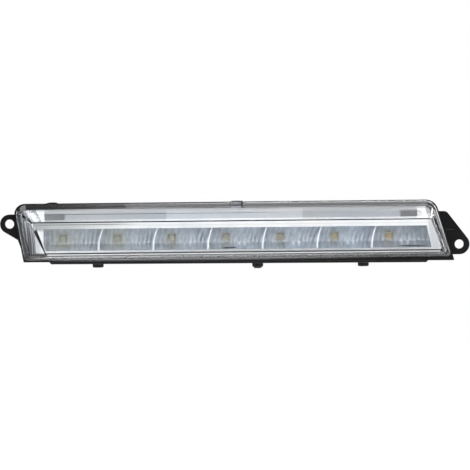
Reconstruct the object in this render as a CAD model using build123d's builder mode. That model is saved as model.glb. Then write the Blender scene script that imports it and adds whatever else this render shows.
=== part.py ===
from build123d import *
import math
import os

os.makedirs("parts", exist_ok=True)

# Slim daytime running light for a car's front bumper, in millimetres.
# The origin is midway between the two ear holes, on the rear face of the ears.
# +X runs to the right along the lamp, +Z is up and the lens faces -Y.
# Depths are distances forward of the ears' rear face, so a forward plane lies at -Y.
# Outlines are four corners seen from the front: top left, top right, bottom right, bottom left.
# Lists of four values for the sides of an outline run top, right, bottom, left.

# Fixing ears
HOLE_SPAN = 323.4
HOLE_STAGGER = 17.8
EAR_HOLE_DIAMETER = 6.6
EAR_THICKNESS = 3.2
EAR_EDGE = 0.6
LEFT_EAR_RADIUS = 6.9
LEFT_EAR_ROOT = 9.0
LEFT_EAR_DROP = 13.5
WEB_REACH = 4.5
WEB_SHOULDER = 2.3
WEB_FOOT = 4.0
RIGHT_EAR_RADIUS = 7.4
RIGHT_EAR_ROOT = 15.7
RIGHT_EAR_SHOULDER = 20.1
RIGHT_EAR_SHOULDER_INSET = 10.9
RIGHT_EAR_SHOULDER_RADIUS = 3.8
EAR_RIB_LENGTH = 6.0
EAR_RIB_WIDTH = 0.9
EAR_RIB_HEIGHT = 0.7

# Lens outline
LEFT_REACH = 3.8
RIGHT_REACH = 18.7
LENS_TOP = 22.9
LENS_BOTTOM = -17.3
LEFT_LEAN = 7.3
RIGHT_LEAN = 12.6
TOP_LEFT_RADIUS = 7.4
TOP_RIGHT_RADIUS = 9.0
BOTTOM_RADIUS = 2.2
SMALLEST_RADIUS = 0.5

# Lens section
LENS_WALL = 2.4
LENS_FLANGE = 2.6
LENS_RISE = 10.4
FLANGE_TOP_WIDTH = 3.9
FLANGE_RIGHT_WIDTH = 1.6
FLANGE_BOTTOM_WIDTH = 1.0
FLANGE_LEFT_WIDTH = 3.0
WINDOW_TOP_DROP = 12.4
WINDOW_BOTTOM_RISE = 2.6
WINDOW_LEFT_INSET = 11.7
WINDOW_LEFT_LEAN = 11.9
WINDOW_RIGHT_INSET = 1.4
WINDOW_RIGHT_LEAN = 10.7
WINDOW_RADIUS = 2.4
WINDOW_EDGE = 0.6
TAB_WIDTH = 8.3
TAB_RISE = 1.3
TAB_PROUD = 1.0
TAB_OFFSET = 2.0

# Glued joint between lens and housing
LEG_INSET = 1.0
LEG_WIDTH = 1.7
LEG_LENGTH = 3.6
GLUE_GAP = 0.3
GLUE_DEPTH = 1.6
GROOVE_WALL = 1.2

# Housing
WALL = 2.2
FLOOR = 2.2
FLOOR_LIP = 1.2
FLOOR_RADIUS = 1.0
BODY_LIP = 0.6
RIM_DEPTH = 8.0
RIM_MARGIN_TOP = 0.5
RIM_MARGIN_SIDE = 1.2
RIM_MARGIN_BOTTOM = 1.3
RIM_DROP = 1.7
RIM_EDGE = 0.7
BODY_DEPTH = 30.0
BODY_TOP_INSET = 1.7
BODY_RIGHT_INSET = 4.8
BODY_BOTTOM_DROP = 1.0
BODY_LEFT_INSET = 8.1
BODY_RADIUS = 6.0
BODY_EDGE = 2.0
KEEL_LEFT_INSET = 16.2
KEEL_RIGHT_INSET = 15.4
KEEL_DROP_LEFT = 3.1
KEEL_DROP_RIGHT = 4.4
KEEL_CHAMFER = 2.4
KEEL_FRONT = 5.0
KEEL_SETBACK = 4.0
KEEL_EDGE = 1.5
LUG_WIDTH = 8.0
LUG_RISE = 0.8
LUG_DEPTH = 4.0
LUG_INSET = 27.0
RIB_WIDTH = 1.5
RIB_HEIGHT = 1.6
RIB_MARGIN = 5.0

# Locating pegs under the housing
PEG_DIAMETER = 8.0
PEG_SETBACK = 9.0
LEFT_PEG_X = -99.0
MIDDLE_PEG_X = 16.6
RIGHT_PEG_X = 93.1
LEFT_PEG_LENGTH = 2.9
MIDDLE_PEG_LENGTH = 4.0
RIGHT_PEG_LENGTH = 3.0
PEG_CHAMFER = 0.6
MIDDLE_PEG_CHAMFER = 1.6

# Bezel
BEZEL_GAP = 0.5
BEZEL_WALL = 1.2
BEZEL_FACE = 3.3
BEZEL_SETBACK = 1.8
BEZEL_FLANGE = 1.5
BEZEL_SHOULDER_SETBACK = 7.8
BEZEL_SHOULDER_DROP = 1.9
BEZEL_SHOULDER_LEFT = 14.5
BEZEL_RADIUS = 1.2

# Fluted reflector strip
CELL_COUNT = 7
CELL_DEPTH = 13.1
CELL_ROOF_DEPTH = 10.1
CELL_FLOOR_DEPTH = 9.1
CELL_APEX_RISE = 6.1
CELL_LEAN = 3.2
CELL_CURVE = 2.2
CELL_STEPS = 5
DIVIDER_WALL = 1.2
FLUTE_PITCH = 3.0
FLUTE_DEPTH = 0.45
REFLECTOR_FIT = 0.3
REFLECTOR_HEADROOM = 4.3
REFLECTOR_WALL = 2.0
REFLECTOR_LEFT_WALL = 1.6
REFLECTOR_RIGHT_WALL = 2.5
REFLECTOR_ROOF = 1.9
REFLECTOR_SILL = 0.7
LAST_CELL_SPREAD = 3.4

# LEDs and their board
LED_OFFSET = 13.0
LED_RISE = 8.1
LED_WIDTH = 5.0
LED_HEIGHT = 5.6
LED_BASE = 1.3
LED_EMITTER = 0.6
LED_EMITTER_MARGIN = 0.8
LED_CLEARANCE = 0.5
BOARD_THICKNESS = 1.6
BOARD_MARGIN = 0.3
PAD_THICKNESS = 0.5
SINK_BASE = 2.0
FIN_COUNT = 4
FIN_DEPTH = 10.0
FIN_THICKNESS = 1.2

# Screws
SCREW_SHANK = 2.8
SCREW_HEAD = 4.8
SCREW_HEAD_HEIGHT = 1.3
SCREW_REACH = 8.0
SCREW_CLEARANCE = 0.2
SCREW_RECESS = 1.4
POST_DIAMETER = 6.4

# Driver electronics behind the heat sink
DRIVER_LENGTH = 68.0
DRIVER_HEIGHT = 22.0
DRIVER_STANDOFF = 4.0
DRIVER_SCREW_INSET = 4.0
STANDOFF_DIAMETER = 5.6
INDUCTOR_SIZE = 10.0
INDUCTOR_HEIGHT = 6.0
INDUCTOR_RADIUS = 1.2
CAPACITOR_DIAMETER = 8.0
CAPACITOR_HEIGHT = 6.5
CAPACITOR_INSET = 10.8
CHIP_LENGTH = 6.5
CHIP_WIDTH = 6.0
CHIP_HEIGHT = 1.6
COMPONENT_GAP = 2.0
COMPONENT_CLEARANCE = 1.0
LINK_WIDTH = 8.0
LINK_HEIGHT = 5.0
LINK_PIN = 0.8
LINK_PIN_PITCH = 4.0
LINK_CLEARANCE = 0.5

# Connector socket on the rear wall
SOCKET_WIDTH = 22.0
SOCKET_HEIGHT = 13.0
SOCKET_LENGTH = 12.0
SOCKET_WALL = 1.6
SOCKET_FLANGE = 2.0
SOCKET_FLANGE_BORDER = 3.0
SOCKET_RADIUS = 2.0
SOCKET_INNER_RADIUS = 1.0
SOCKET_NECK_INSET = 2.0
SOCKET_FIT = 0.2
SEAL_THICKNESS = 1.0
TERMINAL_COUNT = 4
TERMINAL_PITCH = 3.8
TERMINAL_WIDTH = 1.5
TERMINAL_THICKNESS = 0.8
TERMINAL_SETBACK = 5.6
TERMINAL_TAIL = 0.9
TERMINAL_CLEARANCE = 0.2

# Breather on the rear wall
BREATHER_DIAMETER = 6.0
BREATHER_BORE = 3.0
BREATHER_LENGTH = 6.0
BREATHER_WALL = 2.6
BREATHER_GAP = 0.6
BREATHER_Z = 3.0


def crossing(first, second):
    """Point where two lines, each given by two points, cross."""
    (ax, az), (bx, bz) = first
    (cx, cz), (dx, dz) = second
    turn = (bx - ax) * (dz - cz) - (bz - az) * (dx - cx)
    along = ((cx - ax) * (dz - cz) - (cz - az) * (dx - cx)) / turn
    return (ax + along * (bx - ax), az + along * (bz - az))


def inset(corners, distances):
    """Corners of an outline whose sides are each moved inwards by their own distance."""
    sides = []
    for start, end, distance in zip(corners, corners[1:] + corners[:1], distances):
        length = math.dist(start, end)
        shift_x = distance * (end[1] - start[1]) / length
        shift_z = distance * (start[0] - end[0]) / length
        sides.append(((start[0] + shift_x, start[1] + shift_z), (end[0] + shift_x, end[1] + shift_z)))
    return [crossing(before, after) for before, after in zip(sides[-1:] + sides[:-1], sides)]


def inset_all(corners, distance):
    """Corners of an outline with every side moved inwards by the same distance."""
    return inset(corners, [distance] * len(corners))


def x_on_line(start, end, z):
    """Where the line through two points stands at height z."""
    return start[0] + (end[0] - start[0]) * (z - start[1]) / (end[1] - start[1])


def z_on_line(start, end, x):
    """How high the line through two points runs at place x."""
    return start[1] + (end[1] - start[1]) * (x - start[0]) / (end[0] - start[0])


def front(depth):
    """Sketch plane facing forward at a depth in front of the ears' rear face."""
    return Plane.XZ.offset(depth)


def rounded(corners, radii):
    """Sketch of an outline with a radius at each corner."""
    with BuildSketch() as outline:
        with BuildLine():
            FilletPolyline(*corners, radius=radii, close=True)
        make_face()
    return outline.sketch


def smaller(radii, distance, least=SMALLEST_RADIUS):
    """Corner radii of an outline that was moved inwards by a distance."""
    return [max(radius - distance, least) for radius in radii]


# Places of the ear holes
left_hole = (-HOLE_SPAN / 2, HOLE_STAGGER / 2)
right_hole = (HOLE_SPAN / 2, -HOLE_STAGGER / 2)

# Depths of the stack, front to back
flange_front = RIM_DEPTH + LENS_FLANGE
lens_front = flange_front + LENS_RISE
bezel_front = lens_front - LENS_WALL - BEZEL_SETBACK
bezel_shoulder = bezel_front - BEZEL_SHOULDER_SETBACK
reflector_front = bezel_front - BEZEL_FACE
cell_back = reflector_front - CELL_DEPTH
board_front = cell_back - REFLECTOR_WALL
board_back = board_front - BOARD_THICKNESS
pad_back = board_back - PAD_THICKNESS
sink_back = pad_back - SINK_BASE
fin_back = sink_back - FIN_DEPTH
wall_inside = WALL - BODY_DEPTH
driver_back = wall_inside + DRIVER_STANDOFF
driver_front = driver_back + BOARD_THICKNESS
seal_back = -BODY_DEPTH - SEAL_THICKNESS
socket_floor = seal_back - SOCKET_FLANGE
socket_mouth = socket_floor - SOCKET_LENGTH

# Outlines of lens and housing
lens_left = left_hole[0] + LEFT_REACH
lens_right = right_hole[0] - RIGHT_REACH
lens_outline = [
    (lens_left, LENS_TOP),
    (lens_right, LENS_TOP),
    (lens_right + RIGHT_LEAN, LENS_BOTTOM),
    (lens_left + LEFT_LEAN, LENS_BOTTOM),
]
lens_radii = [TOP_LEFT_RADIUS, TOP_RIGHT_RADIUS, BOTTOM_RADIUS, BOTTOM_RADIUS]
flange_widths = [FLANGE_TOP_WIDTH, FLANGE_RIGHT_WIDTH, FLANGE_BOTTOM_WIDTH, FLANGE_LEFT_WIDTH]
dome_base = inset(lens_outline, flange_widths)
dome_base_radii = smaller(lens_radii, LENS_WALL, WINDOW_RADIUS)
window_left = lens_left + WINDOW_LEFT_INSET
window_right = lens_right - WINDOW_RIGHT_INSET
window = [
    (window_left, LENS_TOP - WINDOW_TOP_DROP),
    (window_right, LENS_TOP - WINDOW_TOP_DROP),
    (window_right + WINDOW_RIGHT_LEAN, LENS_BOTTOM + WINDOW_BOTTOM_RISE),
    (window_left + WINDOW_LEFT_LEAN, LENS_BOTTOM + WINDOW_BOTTOM_RISE),
]
window_radii = [WINDOW_RADIUS] * 4
tray_inset = LEG_INSET + LEG_WIDTH + GLUE_GAP + GROOVE_WALL
tray = inset_all(lens_outline, tray_inset)
tray_radii = smaller(lens_radii, tray_inset)
rim = inset(lens_outline, [-RIM_MARGIN_TOP, -RIM_MARGIN_SIDE, -RIM_MARGIN_BOTTOM, -RIM_MARGIN_SIDE])
rim_low_right = rim[2][1] - RIM_DROP
rim[2] = (x_on_line(rim[1], rim[2], rim_low_right), rim_low_right)
rim_radii = [TOP_LEFT_RADIUS, TOP_RIGHT_RADIUS, RIM_EDGE, RIM_EDGE]
body_insets = [BODY_TOP_INSET, BODY_RIGHT_INSET, -BODY_BOTTOM_DROP, BODY_LEFT_INSET]
body = inset(lens_outline, body_insets)
body_radii = [BODY_RADIUS] * 4
body_inside = inset_all(body, WALL)
body_inside_radii = smaller(body_radii, WALL)
floor_opening = inset(
    lens_outline,
    [
        tray_inset + FLOOR_LIP,
        BODY_RIGHT_INSET + WALL + BODY_LIP,
        tray_inset + FLOOR_LIP,
        BODY_LEFT_INSET + WALL + BODY_LIP,
    ],
)
floor_opening_radii = smaller(lens_radii, tray_inset + FLOOR_LIP, FLOOR_RADIUS)


def slants(outer, inner, rise):
    """How much longer a wall's thickness is across each sloping side than square to it."""
    factors = []
    for side in range(len(outer)):
        start, end = outer[side], outer[(side + 1) % len(outer)]
        runs = []
        for x, z in (inner[side], inner[(side + 1) % len(inner)]):
            across = (x - start[0]) * (end[1] - start[1]) - (z - start[1]) * (end[0] - start[0])
            runs.append(abs(across) / math.dist(start, end))
        factors.append(math.hypot(1, max(runs) / rise))
    return factors


def lens_band(outer, inner):
    """Sketch of the band between two distances inside the lens's outline."""
    with BuildSketch() as strip:
        add(rounded(inset_all(lens_outline, outer), smaller(lens_radii, outer)))
        add(rounded(inset_all(lens_outline, inner), smaller(lens_radii, inner)), mode=Mode.SUBTRACT)
    return strip.sketch


dome_slants = slants(dome_base, window, LENS_RISE)


def dome(depth, thickness):
    """Outline at a depth, a thickness inside the lens's sloping outer faces."""
    share = (depth - flange_front) / LENS_RISE
    outer = [
        (base[0] + share * (face[0] - base[0]), base[1] + share * (face[1] - base[1]))
        for base, face in zip(dome_base, window)
    ]
    return inset(outer, [thickness * slant for slant in dome_slants])


# Outlines of bezel, reflector and boards
bezel_flange = inset_all(tray, BEZEL_GAP)
bezel_flange_radii = smaller(tray_radii, BEZEL_GAP)
bezel_shoulder_outline = inset(bezel_flange, [BEZEL_SHOULDER_DROP, BEZEL_GAP, 0, 0])
shoulder_left = lens_left + BEZEL_SHOULDER_LEFT
bezel_shoulder_outline[0] = (shoulder_left, bezel_shoulder_outline[0][1])
bezel_shoulder_outline[3] = (shoulder_left, bezel_shoulder_outline[3][1])
bezel_face = dome(bezel_front, LENS_WALL + BEZEL_GAP)
bezel_radii = [BEZEL_RADIUS] * 4
bezel_inside = dome(reflector_front, LENS_WALL + BEZEL_GAP + BEZEL_WALL)
bezel_inside[2] = (bezel_inside[2][0], bezel_shoulder_outline[2][1] + BEZEL_WALL)
bezel_inside[3] = (bezel_inside[3][0], bezel_shoulder_outline[3][1] + BEZEL_WALL)
reflector_outline = inset(bezel_inside, [REFLECTOR_HEADROOM] + [REFLECTOR_FIT] * 3)
for corner in (1, 2):
    height = reflector_outline[corner][1]
    opening_right = x_on_line(floor_opening[1], floor_opening[2], height)
    reflector_outline[corner] = (opening_right - REFLECTOR_FIT, height)
cell_bottom = reflector_outline[3][1] + REFLECTOR_SILL
cell_top = reflector_outline[0][1] - REFLECTOR_ROOF
cell_apex = cell_bottom + CELL_APEX_RISE
row_left = reflector_outline[3][0] + REFLECTOR_LEFT_WALL
row_right = reflector_outline[1][0] - REFLECTOR_RIGHT_WALL
cell_pitch = (row_right - row_left) / CELL_COUNT
row_middle = (row_left + row_right) / 2
cell_lefts = [row_left + number * cell_pitch for number in range(CELL_COUNT)]
led_places = [(left + LED_OFFSET, cell_bottom + LED_RISE) for left in cell_lefts]
cell_view = [
    (row_left, cell_top),
    (row_right, cell_top),
    (row_right + LAST_CELL_SPREAD, cell_bottom),
    (row_left, cell_bottom),
]

# Boards and their screws
board_left = reflector_outline[3][0] + BOARD_MARGIN
board_low = reflector_outline[3][1] + BOARD_MARGIN
screw_low = board_low + SCREW_HEAD / 2 + SCREW_CLEARANCE
screw_high = reflector_outline[0][1] + SCREW_HEAD / 2 + SCREW_CLEARANCE
board_high = screw_high + SCREW_HEAD / 2 + SCREW_CLEARANCE
board_right = x_on_line(floor_opening[1], floor_opening[2], board_high) - BOARD_MARGIN
board_middle = ((board_left + board_right) / 2, (board_low + board_high) / 2)
board_size = (board_right - board_left, board_high - board_low)
screw_reach = (CELL_COUNT / 2 - 1) * cell_pitch
screw_columns = [row_middle - screw_reach, row_middle, row_middle + screw_reach]
low_screws = [(x, screw_low) for x in screw_columns]
screw_places = low_screws + [(x, screw_high) for x in screw_columns]
driver_x = (screw_columns[1] + screw_columns[2]) / 2
driver_z = (screw_low + screw_high) / 2
driver_reach = DRIVER_LENGTH / 2 - DRIVER_SCREW_INSET
driver_spread = DRIVER_HEIGHT / 2 - DRIVER_SCREW_INSET
driver_screw_places = [
    (driver_x - driver_reach, driver_z + driver_spread),
    (driver_x + driver_reach, driver_z - driver_spread),
]
capacitor_place = (driver_x + DRIVER_LENGTH / 2 - CAPACITOR_INSET, driver_z)
inductor_x = capacitor_place[0] - (INDUCTOR_SIZE + CAPACITOR_DIAMETER) / 2 - COMPONENT_GAP
inductor_place = (inductor_x, driver_z + INDUCTOR_SIZE / 2)
chip_place = (inductor_x, driver_z - CHIP_WIDTH)
link_x = driver_x - DRIVER_LENGTH / 2 + LINK_WIDTH
link_pin_places = [(link_x + side * LINK_PIN_PITCH / 2, driver_z) for side in (-1, 1)]
socket_x = row_middle + cell_pitch
terminal_places = [
    (socket_x + (number - (TERMINAL_COUNT - 1) / 2) * TERMINAL_PITCH, driver_z)
    for number in range(TERMINAL_COUNT)
]
breather_place = (row_middle - 2 * cell_pitch, BREATHER_Z)
rib_places = cell_lefts[1:]
peg_sizes = [
    (LEFT_PEG_X, LEFT_PEG_LENGTH, PEG_CHAMFER),
    (MIDDLE_PEG_X, MIDDLE_PEG_LENGTH, MIDDLE_PEG_CHAMFER),
    (RIGHT_PEG_X, RIGHT_PEG_LENGTH, PEG_CHAMFER),
]

# Left ear: a round eye, its root on the rim and a web that runs down the lamp's end
left_root = left_hole[0] + LEFT_EAR_ROOT
web_top = left_hole[1] - LEFT_EAR_DROP
with BuildPart() as left_ear:
    with BuildSketch(front(0)):
        with Locations(left_hole):
            Circle(LEFT_EAR_RADIUS)
        with BuildLine():
            Line((left_root, left_hole[1] + LEFT_EAR_RADIUS), (left_root, web_top))
        make_hull()
        with BuildLine():
            Polyline(
                (rim[3][0] - WEB_REACH, web_top + WEB_SHOULDER),
                (left_root, web_top + LEFT_EAR_ROOT),
                (rim[3][0] + WEB_FOOT, rim[3][1] + WEB_FOOT),
                (rim[3][0], rim[3][1] + WEB_FOOT),
                close=True,
            )
        make_face()
    extrude(amount=EAR_THICKNESS)
    fillet(left_ear.faces().sort_by(Axis.Y)[0].edges(), EAR_EDGE)

# Right ear: a round eye, a high shoulder on the rim and a small stiffening rib
right_root = right_hole[0] - RIGHT_EAR_ROOT
shoulder = (right_hole[0] - RIGHT_EAR_SHOULDER_INSET, right_hole[1] + RIGHT_EAR_SHOULDER)
root_top = shoulder[1] + RIGHT_EAR_SHOULDER_RADIUS
root_bottom = right_hole[1] - RIGHT_EAR_RADIUS
with BuildPart() as right_ear:
    with BuildSketch(front(0)):
        with Locations(right_hole):
            Circle(RIGHT_EAR_RADIUS)
        with Locations(shoulder):
            Circle(RIGHT_EAR_SHOULDER_RADIUS)
        with BuildLine():
            Line((right_root, root_top), (right_root, root_bottom))
        make_hull()
    extrude(amount=EAR_THICKNESS)
    fillet(right_ear.faces().sort_by(Axis.Y)[0].edges(), EAR_EDGE)
    with BuildSketch(front(EAR_THICKNESS)):
        with Locations(((right_hole[0] + shoulder[0]) / 2, (right_hole[1] + shoulder[1]) / 2)):
            SlotOverall(EAR_RIB_LENGTH, EAR_RIB_WIDTH)
    extrude(amount=EAR_RIB_HEIGHT)

# Keel: the lower step along the bottom of the housing
keel_left = lens_outline[3][0] + KEEL_LEFT_INSET
keel_right = lens_outline[2][0] - KEEL_RIGHT_INSET
keel_root = body[3][1] + WALL / 2
keel_outline = [
    (keel_left, keel_root),
    (keel_right, keel_root),
    (keel_right, LENS_BOTTOM - KEEL_DROP_RIGHT + KEEL_CHAMFER),
    (keel_right - KEEL_CHAMFER, LENS_BOTTOM - KEEL_DROP_RIGHT),
    (keel_left + KEEL_CHAMFER, LENS_BOTTOM - KEEL_DROP_LEFT),
    (keel_left, LENS_BOTTOM - KEEL_DROP_LEFT + KEEL_CHAMFER),
]


def keel_floor(x):
    """Height of the keel's underside at place x."""
    return z_on_line(keel_outline[3], keel_outline[4], x)


with BuildPart() as keel:
    with BuildSketch(front(KEEL_SETBACK - BODY_DEPTH)):
        with BuildLine():
            Polyline(*keel_outline, close=True)
        make_face()
    extrude(amount=BODY_DEPTH - KEEL_SETBACK + KEEL_FRONT)
    fillet(keel.faces().sort_by(Axis.Y)[0].edges().sort_by(Axis.Z)[:-1], KEEL_EDGE)

# Housing: rim with glue groove, shallow tray, deep rear body, ears, keel and pegs in one moulding
with BuildPart() as housing:
    with BuildSketch(front(0)):
        add(rounded(rim, rim_radii))
    extrude(amount=RIM_DEPTH)
    fillet(housing.faces().sort_by(Axis.Y)[0].edges(), RIM_EDGE)
    with BuildSketch(front(-BODY_DEPTH)):
        add(rounded(body, body_radii))
    extrude(amount=BODY_DEPTH)
    fillet(housing.faces().sort_by(Axis.Y)[-1].edges(), BODY_EDGE)
    add(keel.part)
    with BuildSketch(front(0)):
        with Locations((lens_left + LUG_INSET, rim[0][1])):
            Ellipse(LUG_WIDTH / 2, LUG_RISE)
    extrude(amount=LUG_DEPTH)
    add(left_ear.part)
    add(right_ear.part)
    # Hollows of the tray and the rear body, with the lip between them
    with BuildSketch(front(FLOOR)):
        add(rounded(tray, tray_radii))
    extrude(amount=RIM_DEPTH - FLOOR, mode=Mode.SUBTRACT)
    with BuildSketch(front(0)):
        add(rounded(floor_opening, floor_opening_radii))
    extrude(amount=FLOOR, mode=Mode.SUBTRACT)
    with BuildSketch(front(wall_inside)):
        add(rounded(body_inside, body_inside_radii))
    extrude(amount=-wall_inside, mode=Mode.SUBTRACT)
    # Groove for the lens leg
    with BuildSketch(front(RIM_DEPTH - LEG_LENGTH - GLUE_DEPTH)):
        add(lens_band(LEG_INSET - GLUE_GAP, LEG_INSET + LEG_WIDTH + GLUE_GAP))
    extrude(amount=LEG_LENGTH + GLUE_DEPTH, mode=Mode.SUBTRACT)
    # Ear holes
    with BuildSketch(front(0)):
        with Locations(left_hole, right_hole):
            Circle(EAR_HOLE_DIAMETER / 2)
    extrude(amount=RIM_DEPTH, mode=Mode.SUBTRACT)
    # Posts for the heat sink and standoffs for the driver board
    with BuildSketch(front(wall_inside - WALL / 2)):
        with Locations(*screw_places):
            Circle(POST_DIAMETER / 2)
    extrude(amount=sink_back - wall_inside + WALL / 2)
    with BuildSketch(front(sink_back - SCREW_REACH)):
        with Locations(*screw_places):
            Circle(SCREW_SHANK / 2 + SCREW_CLEARANCE / 2)
    extrude(amount=SCREW_REACH, mode=Mode.SUBTRACT)
    with BuildSketch(front(wall_inside - WALL / 2)):
        with Locations(*driver_screw_places):
            Circle(STANDOFF_DIAMETER / 2)
    extrude(amount=DRIVER_STANDOFF + WALL / 2)
    with BuildSketch(front(wall_inside)):
        with Locations(*driver_screw_places):
            Circle(SCREW_SHANK / 2 + SCREW_CLEARANCE / 2)
    extrude(amount=DRIVER_STANDOFF, mode=Mode.SUBTRACT)
    # Way through the rear wall for the connector, breather spigot and outer ribs
    with BuildSketch(front(-BODY_DEPTH)):
        with Locations((socket_x, driver_z)):
            Rectangle(
                SOCKET_WIDTH - 2 * SOCKET_NECK_INSET + 2 * SOCKET_FIT,
                SOCKET_HEIGHT - 2 * SOCKET_NECK_INSET + 2 * SOCKET_FIT,
            )
    extrude(amount=WALL, mode=Mode.SUBTRACT)
    with BuildSketch(front(-BODY_DEPTH - BREATHER_LENGTH)):
        with Locations(breather_place):
            Circle(BREATHER_DIAMETER / 2)
    extrude(amount=BREATHER_LENGTH + WALL / 2)
    with BuildSketch(front(-BODY_DEPTH - BREATHER_LENGTH)):
        with Locations(breather_place):
            Circle(BREATHER_BORE / 2)
    extrude(amount=BREATHER_LENGTH + WALL, mode=Mode.SUBTRACT)
    with BuildSketch(front(-BODY_DEPTH - RIB_HEIGHT)):
        with Locations(*[(x, (body[0][1] + body[3][1]) / 2) for x in rib_places]):
            Rectangle(RIB_WIDTH, body[0][1] - body[3][1] - 2 * RIB_MARGIN)
    extrude(amount=RIB_HEIGHT + WALL / 2)
    # Pegs, turned about their own upright axes
    for peg_x, peg_length, peg_chamfer in peg_sizes:
        peg_end = keel_floor(peg_x) - peg_length
        with BuildSketch(Plane.XZ.offset(-PEG_SETBACK)):
            with BuildLine():
                Polyline(
                    (peg_x, peg_end),
                    (peg_x + PEG_DIAMETER / 2 - peg_chamfer, peg_end),
                    (peg_x + PEG_DIAMETER / 2, peg_end + peg_chamfer),
                    (peg_x + PEG_DIAMETER / 2, keel_root),
                    (peg_x, keel_root),
                    close=True,
                )
            make_face()
        revolve(axis=Axis((peg_x, PEG_SETBACK, 0), (0, 0, 1)))
housing.part.label = "housing"
export_step(housing.part, "parts/housing.step")

# Lens: flange, stepped dome with its window, and the leg that sits in the glue
with BuildPart() as lens:
    with BuildSketch(front(flange_front)):
        add(rounded(dome_base, dome_base_radii))
    with BuildSketch(front(lens_front)):
        add(rounded(window, window_radii))
    loft(ruled=True)
    fillet(lens.faces().sort_by(Axis.Y)[0].edges(), WINDOW_EDGE)
    with BuildSketch(front(RIM_DEPTH)):
        add(rounded(lens_outline, lens_radii))
    extrude(amount=LENS_FLANGE)
    with BuildSketch(front(RIM_DEPTH - LEG_LENGTH)):
        add(lens_band(LEG_INSET, LEG_INSET + LEG_WIDTH))
    extrude(amount=LEG_LENGTH)
    with BuildSketch(front(RIM_DEPTH)):
        add(rounded(dome(RIM_DEPTH, LENS_WALL), smaller(dome_base_radii, LENS_WALL)))
    with BuildSketch(front(lens_front - LENS_WALL)):
        add(rounded(dome(lens_front - LENS_WALL, LENS_WALL), smaller(window_radii, LENS_WALL)))
    loft(ruled=True, mode=Mode.SUBTRACT)
    with BuildSketch(front(RIM_DEPTH)):
        with Locations((TAB_OFFSET, LENS_TOP + (TAB_RISE - FLANGE_TOP_WIDTH) / 2)):
            Rectangle(TAB_WIDTH, TAB_RISE + FLANGE_TOP_WIDTH)
    extrude(amount=LENS_FLANGE + TAB_PROUD)
lens.part.label = "lens"
export_step(lens.part, "parts/lens.step")

# Sealant bead at the bottom of the groove
with BuildPart() as lens_seal:
    with BuildSketch(front(RIM_DEPTH - LEG_LENGTH - GLUE_DEPTH)):
        add(lens_band(LEG_INSET - GLUE_GAP, LEG_INSET + LEG_WIDTH + GLUE_GAP))
    extrude(amount=GLUE_DEPTH)
lens_seal.part.label = "lens_seal"
export_step(lens_seal.part, "parts/lens_seal.step")

# Bezel: flange on the tray floor, straight skirt, sloping flanks and a face with the view of the cells
with BuildPart() as bezel:
    with BuildSketch(front(bezel_shoulder)):
        add(rounded(bezel_shoulder_outline, bezel_radii))
    with BuildSketch(front(bezel_front)):
        add(rounded(bezel_face, bezel_radii))
    loft(ruled=True)
    with BuildSketch(front(FLOOR)):
        add(rounded(bezel_shoulder_outline, bezel_radii))
    extrude(amount=bezel_shoulder - FLOOR)
    with BuildSketch(front(FLOOR)):
        add(rounded(bezel_flange, bezel_flange_radii))
    extrude(amount=BEZEL_FLANGE)
    with BuildSketch(front(bezel_shoulder)):
        add(rounded(inset_all(bezel_shoulder_outline, BEZEL_WALL), bezel_radii))
    with BuildSketch(front(reflector_front)):
        add(rounded(bezel_inside, bezel_radii))
    loft(ruled=True, mode=Mode.SUBTRACT)
    with BuildSketch(front(FLOOR)):
        add(rounded(inset_all(bezel_shoulder_outline, BEZEL_WALL), bezel_radii))
    extrude(amount=bezel_shoulder - FLOOR, mode=Mode.SUBTRACT)
    with BuildSketch(front(reflector_front)):
        with BuildLine():
            Polyline(*cell_view, close=True)
        make_face()
    extrude(amount=BEZEL_FACE, mode=Mode.SUBTRACT)
bezel.part.label = "bezel"
export_step(bezel.part, "parts/bezel.step")


def cell_levels(lean):
    """Heights, depths and sideways shifts of a cell's back wall, from its sill to its roof."""
    levels = [(cell_bottom, cell_back + CELL_FLOOR_DEPTH)]
    for step in range(CELL_STEPS + 1):
        share = step / CELL_STEPS
        height = cell_apex + share * (cell_top - cell_apex)
        levels.append((height, cell_back + CELL_ROOF_DEPTH * share**CELL_CURVE))
    span = cell_top - cell_bottom
    return [(height, depth, lean * ((height - cell_bottom) / span) ** 2) for height, depth in levels]


def cell_hollow(left, width, lean):
    """Hollow of one cell: a fluted profile carried up a curved back wall in straight slices."""
    flutes = max(round(width / FLUTE_PITCH), 1)
    open_front = -reflector_front - CELL_DEPTH
    levels = cell_levels(lean)
    with BuildPart() as hollow:
        for (low, low_depth, low_shift), (high, high_depth, high_shift) in zip(levels, levels[1:]):
            rise = Vector(high_shift - low_shift, low_depth - high_depth, high - low)
            back = [
                (left + low_shift + width * point / (2 * flutes), -low_depth - FLUTE_DEPTH * (1 - point % 2))
                for point in range(2 * flutes + 1)
            ]
            mouth = [(back[-1][0], open_front), (back[0][0], open_front)]
            with BuildSketch(Plane.XY.offset(low)):
                with BuildLine():
                    Polyline(*back, *mouth, close=True)
                make_face()
            extrude(amount=rise.length, dir=rise.normalized())
    return hollow.part


cell_width = cell_pitch - DIVIDER_WALL
hollows = [cell_hollow(left + DIVIDER_WALL / 2, cell_width, CELL_LEAN) for left in cell_lefts]
hollows.append(cell_hollow(row_left, CELL_LEAN + DIVIDER_WALL, 0))
hollows.append(cell_hollow(row_right - LAST_CELL_SPREAD, 2 * LAST_CELL_SPREAD, -LAST_CELL_SPREAD))

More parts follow.
